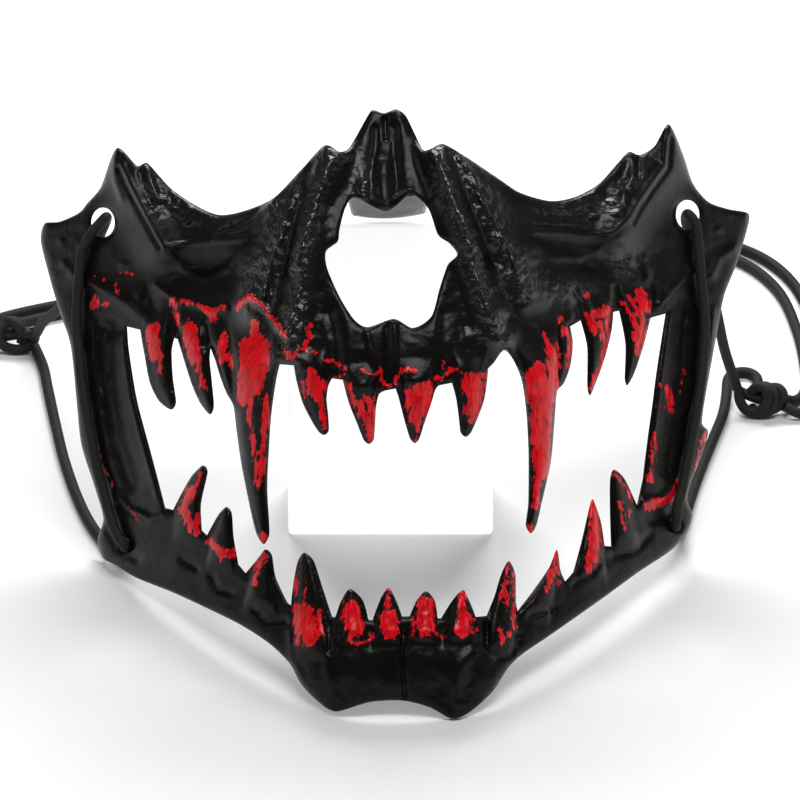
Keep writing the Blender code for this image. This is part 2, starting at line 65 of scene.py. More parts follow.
# Studio: soft boxes with their place (metres), size and power, and a white floor.
WORLD_LIGHT = 0.12
LIGHT_AIM = (0.0, 0.0, 0.05)
SOFTBOXES = [
    ("key_softbox", (0.10, -0.26, 0.95), (0.6, 0.34), 5.0),
    ("back_softbox", (0.0, 0.62, 0.70), (0.7, 0.28), 8.6),
    ("left_strip", (-0.75, -0.10, 0.42), (0.10, 0.5), 0.35),
    ("right_strip", (0.8, 0.0, 0.42), (0.10, 0.5), 0.35),
]
FLOOR_HALF = 3.0
FLOOR_CELLS = 24
FLOOR_COLOUR = (0.90, 0.90, 0.905, 1.0)
FLOOR_ROUGHNESS, FLOOR_GLOSS = 0.8, 0.2
# Darkest and lightest colour of each material.
PLASTIC_TONES = (0.0026, 0.0021, 0.0018), (0.0052, 0.0044, 0.0038)
UNDERSIDE_TONES = (0.0035, 0.0035, 0.0035), (0.008, 0.008, 0.008)
ENAMEL_TONES = (0.50, 0.001, 0.003), (0.92, 0.002, 0.013)
ELASTIC_TONES = (0.004, 0.004, 0.0035), (0.017, 0.017, 0.014)
ACRYLIC_TONES = (0.92, 0.925, 0.93), (0.95, 0.95, 0.955)
# Painted glow on the block: emission strength (it is no lamp) on its front, and on its other faces.
BLOCK_PAINTED_GLOW, BLOCK_SIDE_PAINTED_GLOW = 0.80, 0.10


def world(x, y, z):
    """World place, in metres, of a point in the mask's own frame."""
    rx = x * math.cos(ROLL) - z * math.sin(ROLL)
    rz = x * math.sin(ROLL) + z * math.cos(ROLL)
    ry = y * math.cos(LEAN) + rz * math.sin(LEAN)
    up = rz * math.cos(LEAN) - y * math.sin(LEAN)
    ox, oy, oz = MASK_ORIGIN
    return ((rx + ox) * MM, (ry + oy) * MM, (up + oz) * MM)


# ---------------- camera, floor and light

def make_camera():
    camera = bpy.data.objects.new("camera", bpy.data.cameras.new("camera"))
    bpy.context.collection.objects.link(camera)
    look = Vector((0.0, math.cos(LEAN), -math.sin(LEAN)))
    camera.location = Vector(VIEW_MIDDLE) * MM - look * VIEW_DISTANCE * MM
    camera.rotation_euler = look.to_track_quat("-Z", "Y").to_euler()
    camera.data.sensor_width = SENSOR
    camera.data.lens = SENSOR * VIEW_DISTANCE / VIEW_WIDTH
    camera.data.clip_end = 50.0
    bpy.context.scene.camera = camera


def area_light(name, place, size, power):
    data = bpy.data.lights.new(name, "AREA")
    data.shape = "RECTANGLE"
    data.size, data.size_y = size
    data.energy = power
    light = bpy.data.objects.new(name, data)
    bpy.context.collection.objects.link(light)
    light.location = place
    light.rotation_euler = (Vector(LIGHT_AIM) - Vector(place)).to_track_quat("-Z", "Y").to_euler()


def make_stage():
    bm = bmesh.new()
    bmesh.ops.create_grid(bm, x_segments=FLOOR_CELLS, y_segments=FLOOR_CELLS, size=FLOOR_HALF)
    floor = new_object("floor", bm)
    material, shader, _, _ = new_material("floor_paper")
    shader.inputs["Base Color"].default_value = FLOOR_COLOUR
    shader.inputs["Roughness"].default_value = FLOOR_ROUGHNESS
    shader.inputs["Specular IOR Level"].default_value = FLOOR_GLOSS
    floor.data.materials.append(material)

    world_light = bpy.data.worlds.new("studio")
    world_light.use_nodes = True
    background = world_light.node_tree.nodes["Background"]
    background.inputs["Color"].default_value = (1.0, 1.0, 1.0, 1.0)
    background.inputs["Strength"].default_value = WORLD_LIGHT
    bpy.context.scene.world = world_light
    bpy.context.scene.view_settings.view_transform = "Standard"
    for light in SOFTBOXES:
        area_light(*light)


# ---------------- objects and materials

def new_object(name, bm):
    """An object that takes over the mesh being built."""
    mesh = bpy.data.meshes.new(name)
    bm.to_mesh(mesh)
    bm.free()
    obj = bpy.data.objects.new(name, mesh)
    bpy.context.collection.objects.link(obj)
    return obj


def bridge(bm, rings):
    """A skin from each ring of vertices to the next."""
    for low, high in zip(rings, rings[1:]):
        for k in range(len(low)):
            j = (k + 1) % len(low)
            bm.faces.new((low[k], low[j], high[j], high[k]))


def new_piece(name, bm, material):
    obj = new_object(name, bm)
    obj.data.shade_smooth()
    obj.data.materials.append(material)
    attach(obj, "root")
    return obj


def new_material(name):
    """A material, its shader, its node tree and the object coordinates in it."""
    material = bpy.data.materials.new(name)
    material.use_nodes = True
    tree = material.node_tree
    coords = tree.nodes.new("ShaderNodeTexCoord").outputs["Object"]
    return material, tree.nodes["Principled BSDF"], tree, coords


def add_node(tree, kind, **values):
    """A node with the given settings and input values."""
    node = tree.nodes.new(kind)
    for key, value in values.items():
        if hasattr(node, key):
            setattr(node, key, value)
        else:
            node.inputs[key].default_value = value
    return node


def math_node(tree, operation, a, b=None, c=None):
    """A maths node's output; each of its inputs is a number or another node's output."""
    node = tree.nodes.new("ShaderNodeMath")
    node.operation = operation
    for socket, value in zip(node.inputs, (a, b, c)):
        if value is None:
            continue
        if isinstance(value, (int, float)):
            socket.default_value = value
        else:
            tree.links.new(value, socket)
    return node.outputs[0]


def noise_node(tree, vector, scale, detail=3.0, roughness=0.55, distortion=0.0):
    node = tree.nodes.new("ShaderNodeTexNoise")
    node.inputs["Scale"].default_value = scale
    node.inputs["Detail"].default_value = detail
    node.inputs["Roughness"].default_value = roughness
    node.inputs["Distortion"].default_value = distortion
    tree.links.new(vector, node.inputs["Vector"])
    return node.outputs["Fac"]


def ramp_between(tree, value, low, high):
    node = tree.nodes.new("ShaderNodeMapRange")
    node.interpolation_type = "SMOOTHSTEP"
    node.inputs["From Min"].default_value = low
    node.inputs["From Max"].default_value = high
    tree.links.new(value, node.inputs["Value"])
    return node.outputs["Result"]


def mix_colour(tree, factor, a, b):
    node = tree.nodes.new("ShaderNodeMix")
    node.data_type = "RGBA"
    for socket, value in ((node.inputs[0], factor), (node.inputs[6], a), (node.inputs[7], b)):
        if isinstance(value, tuple):
            socket.default_value = (*value, 1.0)
        else:
            tree.links.new(value, socket)
    return node.outputs[2]


def bump(tree, height, strength, distance, normal=None):
    node = tree.nodes.new("ShaderNodeBump")
    node.inputs["Strength"].default_value = strength
    node.inputs["Distance"].default_value = distance
    tree.links.new(height, node.inputs["Height"])
    if normal is not None:
        tree.links.new(normal, node.inputs["Normal"])
    return node.outputs["Normal"]


# ---------------- the mask's pattern

# Wall in the middle and at the edges, and how far in the edges are rounded.
WALL = 2.6
EDGE_WALL = 1.1
EDGE_ROUND = 2.2
STEEPEST = 2.4
# Spacing of the surface's corners, and the flat field that they are laid over.
EDGE_STEP = 0.8
FRONT_STEP = 0.62
BACK_STEP = 2.0
CLEAR_OF_EDGE = 0.6
ROW_RATIO = 0.866
FIELD_ACROSS, FIELD_UP = (-100.0, 102.0), (-86.0, 87.0)
CURVE_PULL = 0.42
# How far the sides sweep back above and below the mouth, and where one turns into the other.
UPPER_FLAT, UPPER_HALF, UPPER_SWEEP, UPPER_POWER = 12.0, 100.0, 82.0, 1.35
LOWER_FLAT, LOWER_HALF, LOWER_SWEEP, LOWER_POWER = 14.0, 83.0, 70.0, 1.45
JAW_BLEND = (-34.0, 8.0)
# Swells of the front: depth forward, middle height, reach, and half widths of the fade.
MUZZLE = (6.0, 14.0, 22.0, 35.0, 70.0)
CHIN = (3.0, -70.0, 9.0, 20.0, 34.0)
# The bridge and the eye scoops lean back: depth, heights of start and end, half widths.
BRIDGE_BACK, BRIDGE_RISE, BRIDGE_FADE = 13.0, (45.0, 88.0), (18.0, 40.0)
SCOOP_BACK, SCOOP_RISE, SCOOP_MIDDLE, SCOOP_HALF = 9.0, (44.0, 66.0), 47.0, 16.0

OUTLINE = [
    (-0.4, 85.2), (3, 86.2), (5.8, 84.1), (10.2, 74.4), (12.3, 74.6), (16, 75.9), (23.5, 71.3),
    (31.8, 65.4), (37.4, 61.6), (45.8, 59.1), (52.9, 60.1), (60.1, 63.9), (68.4, 72.4), (71.7, 71.5),
    (76, 73.9), (80.3, 80), (84.2, 71.4), (86.8, 63.2), (91.2, 57.8), (97, 55.6), (102.6, 54.3),
    (102.4, 50.6), (98.9, 40.3), (94.9, 31.1), (92.6, 21.2), (88.3, 1.5), (87.3, -5.3), (89, -7.6),
    (87.1, -14.1), (84, -21.1), (82.4, -26.7), (83.8, -31), (82.3, -35.6), (78.3, -40.2), (73.8, -43.2),
    (68, -46.6), (56.5, -54.2), (42, -63.5), (34.2, -68.3), (29.9, -72), (24.9, -78.9), (18.6, -84.2),
    (13.5, -86.1), (7.3, -82.7), (-0.3, -80.5), (-9.6, -80.6), (-19.2, -83), (-24, -80.3), (-28.9, -75),
    (-31.8, -69.3), (-37.4, -63.5), (-45.8, -57.8), (-56.9, -52.1), (-65.3, -48.1), (-75.1, -44),
    (-80.9, -40.2), (-84.5, -38.1), (-85.9, -32.8), (-84, -27.1), (-86, -18.6), (-89.6, -5.7),
    (-90.6, 7.1), (-91.8, 22.7), (-94.8, 32.7), (-97.4, 42.7), (-99.5, 52.7), (-98.3, 57.6), (-93.9, 58),
    (-88.3, 60.2), (-85.5, 63.1), (-81.7, 67.2), (-76.6, 78.1), (-70.9, 72.9), (-68, 73.6), (-60.3, 65.1),
    (-47.8, 58.1), (-33.5, 61.6), (-24.8, 69.5), (-17.5, 76.6), (-13.3, 74.6), (-10.6, 75.6),
    (-5.2, 84.4), (-3.6, 86.2),
]
NOSE_HOLE = [
    (-9.5, 61.6), (-0.7, 57.4), (6.3, 61.9), (11.1, 57.9), (13.7, 50.3), (16.9, 47.7), (18.9, 44.5),
    (16.2, 41.8), (13.7, 35.3), (11.1, 27.4), (5.8, 24.3), (0.5, 27), (-6.9, 24.9), (-10.6, 27.1),
    (-14.6, 33.8), (-17.8, 41.9), (-18, 46.6), (-14.6, 49.3), (-14, 52.6), (-12.2, 58.6),
]
STRAP_HOLES = [((-81.3, 57.3), 3.4, 4.2), ((85, 54.3), 3.4, 4.2),
               ((-77.9, -35.1), 1.55, 1.65), ((78.8, -33.9), 1.55, 1.65)]
HOLE_SIDES = 28
LEFT_STRUT = [(-66, -24.3), (-69.8, -7.8), (-73.1, 6.5), (-75, 20.8), (-75.3, 27.4)]
RIGHT_STRUT = [(77.7, 26.3), (76.5, 20), (74.6, 10), (73, 0), (71.3, -10), (69.7, -20.5)]
# Edge of each tooth along the two gum lines.
UPPER_TEETH = [
    [(-71.6, 26.4), (-70.7, 20), (-69.3, 11.4), (-66.8, 6), (-63.4, 3.4), (-61.9, 5.4),
     (-62.6, 12.5), (-62.7, 20), (-61.8, 23.7)],
    [(-60.9, 23.4), (-59.9, 19.6), (-57.4, 10.8), (-55, 5), (-52.3, 1.7), (-51.1, 4),
     (-51.5, 11.5), (-51.9, 17.5), (-51.5, 20.4)],
    [(-50.4, 17.2), (-49.1, 12.4), (-47.4, 7.6), (-45.6, 4), (-44.9, -3), (-43.9, -12),
     (-42.2, -22.5), (-40.3, -32), (-38.2, -35.4), (-36.5, -32.4), (-36.7, -20), (-36, -10),
     (-34.8, 1.5), (-33.2, 10.5), (-32, 15.2)],
    [(-28.1, 14.8), (-27.4, 10.2), (-25.9, 4.2), (-23.4, -1.2), (-21.5, -4.3), (-20.1, -5.1),
     (-18.8, -4), (-18.8, 0.5), (-19.1, 5), (-18.5, 8.8), (-17.4, 10.8)],
    [(-14.4, 10.3), (-13.5, 6.1), (-12.5, 2.6), (-10.8, -2), (-9, -6.9), (-7.6, -8),
     (-6.2, -6.8), (-5.6, -1.5), (-5.2, 2.6), (-4.3, 6), (-2.6, 6.9)],
    [(0.4, 7.4), (1.3, 4.2), (2.4, -0.8), (4, -6.8), (5.3, -8.2), (6.6, -7), (8.2, -2.6),
     (10.2, 2.6), (11.5, 6.6), (12.6, 7.9)],
    [(16.3, 8.5), (17.3, 4.2), (17.9, -1.2), (18.3, -5.6), (19.7, -6.9), (21.2, -5.7), (23.3, -1.4),
     (25.2, 3.4), (26.2, 8.7), (26.6, 12.2)],
    [(28.4, 13.9), (31.2, 17.2), (33.5, 14.9), (35.9, 9), (37, 0), (37.3, -12),
     (36.8, -26), (35.9, -32.4), (37.3, -34.7), (38.9, -32.4), (41.3, -23.6), (43.6, -14.5),
     (44.9, -4), (46, 5.2), (48, 7.4), (50, 12.4), (50.9, 18.5), (50.3, 23.4)],
    [(53.3, 25), (54.9, 17.5), (54.6, 6), (55.3, 3.7), (57, 7), (60, 14.5), (62.1, 22),
     (62.8, 27.2)],
    [(64.4, 27.4), (65.9, 18), (65.4, 8.2), (66, 6.2), (68, 9.2), (71, 17), (73.4, 25.2)],
]
LOWER_TEETH = [
    [(67.8, -27.8), (64.5, -20.2), (61.5, -17.4), (60.3, -20.5), (60, -30), (60, -39.2)],
    [(58.2, -39), (57.3, -32), (55.2, -25.6), (53.7, -29.6), (51.8, -36.8), (49, -46)],
    [(46.6, -48.6), (45.4, -45.6), (44.5, -39.5), (42.2, -44.4), (37.6, -50.6), (32.8, -56.4)],
    [(32.4, -54), (32.5, -46), (30.8, -42.2), (28.6, -45.6), (26.3, -52.2), (24, -57.4)],
    [(21, -57.6), (19.5, -53.6), (17.6, -49.9), (14.6, -52.6), (11.2, -57.6)],
    [(10.2, -57.6), (9.6, -52.8), (7.2, -49.9), (4.6, -52.2), (2.3, -56.8)],
    [(0.2, -56.8), (-1.4, -52), (-3.3, -48.6), (-5.5, -51.2), (-8.2, -57.6)],
    [(-9.3, -57.4), (-10.7, -51.9), (-14.2, -48.6), (-16.8, -51.8), (-18.6, -56.4)],
    [(-19.5, -56.3), (-22, -47.8), (-24.2, -40.4), (-26.8, -38), (-28.8, -40.6), (-30.4, -48),
     (-31, -52.8)],
    [(-32, -52), (-35.1, -44.8), (-36, -38.4), (-37.8, -36.8), (-40.6, -40), (-43.6, -43.4)],
    [(-45.6, -40.8), (-46.7, -33), (-47, -26.4), (-48.4, -24.5), (-50.8, -26.6), (-54.3, -32.4)],
    [(-55.7, -31), (-55.7, -23.5), (-53.5, -14.4), (-54.8, -12.6), (-58.2, -15.6), (-61.7, -21.2),
     (-63.8, -25)],
]

CRESTS = [
    ([(-15.3, 73.9), (-22.2, 61.1), (-24.4, 45), (-27.1, 30.6), (-29.8, 17.9)], 6, 5),
    ([(-30.4, 61.9), (-32.5, 48.9), (-36.2, 39.7), (-38.6, 30)], 4.5, 4.5),
    ([(13.9, 73.5), (17.8, 61.8), (21.7, 49.5), (23.7, 40.6), (27, 28.9), (30.1, 20.9)], 6, 4.5),
    ([(19.6, 73.4), (24.9, 63), (29.2, 53.5), (34, 44.8), (37.5, 33)], 5, 5),
    ([(-75.6, 76), (-70.8, 64.6), (-66.9, 55.1), (-64.2, 49.6)], 6, 5.5),
    ([(80.1, 78.8), (78.7, 68.7), (72.8, 62.3), (68.4, 56), (65.1, 50.7)], 6, 5.5),
]
CHEEK_HOLLOWS = [((-54, 42.5), 12, 5), ((56, 42), 12, 5)]
HOLLOW_DEPTH = 4.0


def smooth_step(low, high, value):
    t = np.clip((value - low) / (high - low), 0.0, 1.0)
    return t * t * (3.0 - 2.0 * t)


def bell(offset, width):
    return np.exp(-(offset / width) ** 2)


def spot(x, z, centre, half_x, half_z):
    return bell(np.hypot((x - centre[0]) / half_x, (z - centre[1]) / half_z), 1.0)


def distance_to_path(x, z, path, closed=False):
    pts = np.array(path)
    ends = np.roll(pts, -1, axis=0) if closed else pts[1:]
    starts = pts if closed else pts[:-1]
    best = np.full(x.shape, 1.0e9)
    for (ax, az), (bx, bz) in zip(starts, ends):
        dx, dz = bx - ax, bz - az
        t = np.clip(((x - ax) * dx + (z - az) * dz) / (dx * dx + dz * dz + 1.0e-9), 0.0, 1.0)
        best = np.minimum(best, np.hypot(x - ax - t * dx, z - az - t * dz))
    return best


def sweep(across, flat, half, depth, power):
    return depth * (np.clip(across - flat, 0.0, None) / (half - flat)) ** power


def depth_at(x, z):
    """Y of the plate's middle surface at each point of the flat pattern."""
    across = np.abs(x)
    upper = sweep(across, UPPER_FLAT, UPPER_HALF, UPPER_SWEEP, UPPER_POWER)
    lower = sweep(across, LOWER_FLAT, LOWER_HALF, LOWER_SWEEP, LOWER_POWER)
    y = lower + (upper - lower) * smooth_step(*JAW_BLEND, z)
    for forward, middle, reach, near, far in (MUZZLE, CHIN):
        y -= forward * bell(z - middle, reach) * (1.0 - smooth_step(near, far, across))
    y += BRIDGE_BACK * smooth_step(*BRIDGE_RISE, z) * (1.0 - smooth_step(*BRIDGE_FADE, across))
    y += SCOOP_BACK * smooth_step(*SCOOP_RISE, z) * bell(across - SCOOP_MIDDLE, SCOOP_HALF)
    for path, height, width in CRESTS:
        y -= height * bell(distance_to_path(x, z, path), width)
    for hollow in CHEEK_HOLLOWS:
        y += HOLLOW_DEPTH * spot(x, z, *hollow)
    return y


def slope_at(x, z):
    """How much longer the surface is than its flat pattern, at each point."""
    step = 1.0
    gx = (depth_at(x + step, z) - depth_at(x - step, z)) / (2.0 * step)
    gz = (depth_at(x, z + step) - depth_at(x, z - step)) / (2.0 * step)
    return np.minimum(np.sqrt(1.0 + gx * gx + gz * gz), STEEPEST)


def smooth_loop(points, step, closed=True):
    """A curve through the points, sampled about every step."""
    pts = [Vector(p) for p in points]
    count = len(pts)
    out = []
    for i in range(count if closed else count - 1):
        if closed:
            p0, p1, p2, p3 = (pts[(i + k - 1) % count] for k in range(4))
        else:
            p0, p1, p2, p3 = (pts[min(max(i + k - 1, 0), count - 1)] for k in range(4))
        reach = (p2 - p1).length
        cuts = max(1, round(reach / step))
        tangent_a, tangent_b = (p2 - p0) * CURVE_PULL, (p3 - p1) * CURVE_PULL
        tangent_a *= min(1.0, reach / max(tangent_a.length, 1.0e-6))
        tangent_b *= min(1.0, reach / max(tangent_b.length, 1.0e-6))
        for j in range(cuts):
            t = j / cuts
            h00, h10 = 2 * t ** 3 - 3 * t ** 2 + 1, t ** 3 - 2 * t ** 2 + t
            h01, h11 = 3 * t ** 2 - 2 * t ** 3, t ** 3 - t ** 2
            out.append(tuple(p1 * h00 + tangent_a * h10 + p2 * h01 + tangent_b * h11))
    if not closed:
        out.append(tuple(pts[-1]))
    return out


def mouth_loop():
    """Edge of the mouth: up the left strut, along the upper teeth, down and back below."""
    loop = []
    for points in [LEFT_STRUT] + UPPER_TEETH + [RIGHT_STRUT] + LOWER_TEETH:
        loop += smooth_loop(points, EDGE_STEP, closed=False)
    return loop


def oval(centre, half_x, half_z):
    turn = [2.0 * math.pi * i / HOLE_SIDES for i in range(HOLE_SIDES)]
    return [(centre[0] + half_x * math.cos(a), centre[1] + half_z * math.sin(a)) for a in turn]


def inside(x, z, loop):
    hit = np.zeros(x.shape, dtype=bool)
    for (ax, az), (bx, bz) in zip(loop, loop[1:] + loop[:1]):
        if az == bz:
            continue
        crosses = (az > z) != (bz > z)
        hit ^= crosses & (x < (bx - ax) * (z - az) / (bz - az) + ax)
    return hit


def clearance(x, z, loops):
    best = np.full(x.shape, 1.0e9)
    for loop in loops:
        best = np.minimum(best, distance_to_path(x, z, loop, closed=True))
    return best


def in_pattern(x, z, loops):
    keep = inside(x, z, loops[0])
    for loop in loops[1:]:
        keep &= ~inside(x, z, loop)
    return keep


def pattern_mesh(loops, step):
    """Corners and triangles of the flat pattern; the first corners are the edge's own."""
    verts, edges = [], []
    for loop in loops:
        first = len(verts)
        verts += [Vector(p) for p in loop]
        edges += [(first + i, first + (i + 1) % len(loop)) for i in range(len(loop))]
    grid = []
    for i, z in enumerate(np.arange(*FIELD_UP, step * ROW_RATIO)):
        xs = np.arange(*FIELD_ACROSS, step) + (step * 0.5 if i % 2 else 0.0)
        grid.append(np.column_stack([xs, np.full(xs.shape, z)]))
    x, z = np.concatenate(grid).T
    keep = in_pattern(x, z, loops)
    x, z = x[keep], z[keep]
    keep = clearance(x, z, loops) > min(step, EDGE_STEP) * CLEAR_OF_EDGE
    verts += [Vector(p) for p in zip(x[keep].tolist(), z[keep].tolist())]
    out, _, faces, _, _, _ = delaunay_2d_cdt(verts, edges, [], 0, 1.0e-5)
    flat = np.array([tuple(v) for v in out])
    tris = np.array([f for f in faces if len(f) == 3])
    mid = flat[tris].mean(axis=1)
    return flat, tris[in_pattern(mid[:, 0], mid[:, 1], loops)]


# ---------------- the mask's relief

# Middle line of every tooth, from its root in the gum to its tip, with its half widths there.
TOOTH_BODIES = [
    ([(-66.8, 32), (-66.8, 20), (-65.6, 11), (-63.2, 4)], 4.4, 0.8),
    ([(-57.4, 32), (-56.2, 20), (-54.3, 10), (-52.2, 2.5)], 4.4, 0.8),
    ([(-49.8, 27), (-48.6, 16), (-46.8, 7)], 2.7, 0.8),
    ([(-38.6, 29), (-39, 14), (-39.9, 0), (-39.9, -15), (-38.9, -28), (-38.2, -34.5)], 7.4, 1.3),
    ([(-23.8, 20), (-22.9, 10), (-21.9, 3), (-20, -4)], 5.2, 0.9),
    ([(-9.6, 15), (-9.3, 7), (-8.5, 0), (-7.5, -7)], 5.2, 0.9),
    ([(6.3, 16), (6.2, 7), (5.9, 0), (5.4, -7.3)], 5.4, 0.9),
    ([(21.8, 18), (21.5, 9), (20.9, 2), (19.8, -6)], 5.2, 0.9),
    ([(40.6, 25), (40.6, 12), (41.1, 0), (40.4, -14), (38.9, -26), (37.4, -34)], 6.6, 1.3),
    ([(48.8, 28), (48.9, 18), (47.3, 8)], 2.6, 0.8),
    ([(58.8, 34), (58.4, 24), (57.1, 15), (55.4, 5)], 4.3, 0.7),
    ([(69.4, 34), (69.4, 25), (68.5, 15), (66.2, 7.3)], 4.4, 0.8),
    ([(-60, -35), (-59.6, -27), (-57.3, -20), (-54.6, -13.5)], 4.4, 0.9),
    ([(-51, -43), (-50.2, -35), (-48.6, -25.5)], 4.2, 1),
    ([(-40, -55), (-39.2, -46), (-37.8, -38)], 5, 1),
    ([(-26, -69), (-25.8, -58), (-26.2, -48), (-26.7, -39)], 5.6, 1.2),
    ([(-14, -65), (-14, -56), (-14.2, -49.5)], 4.3, 1),
    ([(-3.7, -65), (-3.5, -56), (-3.3, -49.5)], 4.3, 1), ([(6.2, -65), (6.6, -57), (7.2, -50.8)], 4.3, 1),
    ([(16.2, -65), (16.8, -57), (17.6, -50.7)], 4.5, 1),
    ([(28, -70), (28.5, -60), (29.8, -50), (30.9, -43)], 4.8, 1),
    ([(37, -60), (40.5, -50), (44.3, -40.5)], 4.6, 0.8),
    ([(54.4, -51), (54.6, -40), (55.2, -27)], 4.4, 0.8),
    ([(64.6, -42), (63.7, -30), (61.6, -18.6)], 4.2, 0.8),
]
CROWN_HEIGHT = 0.62
CROWN_TAPER = 0.8
CROWN_RISE = (-0.05, 0.30)
# The crowns and the carving fade out this far from an edge.
CROWN_FADE, CARVED_FADE = 1.5, 1.8

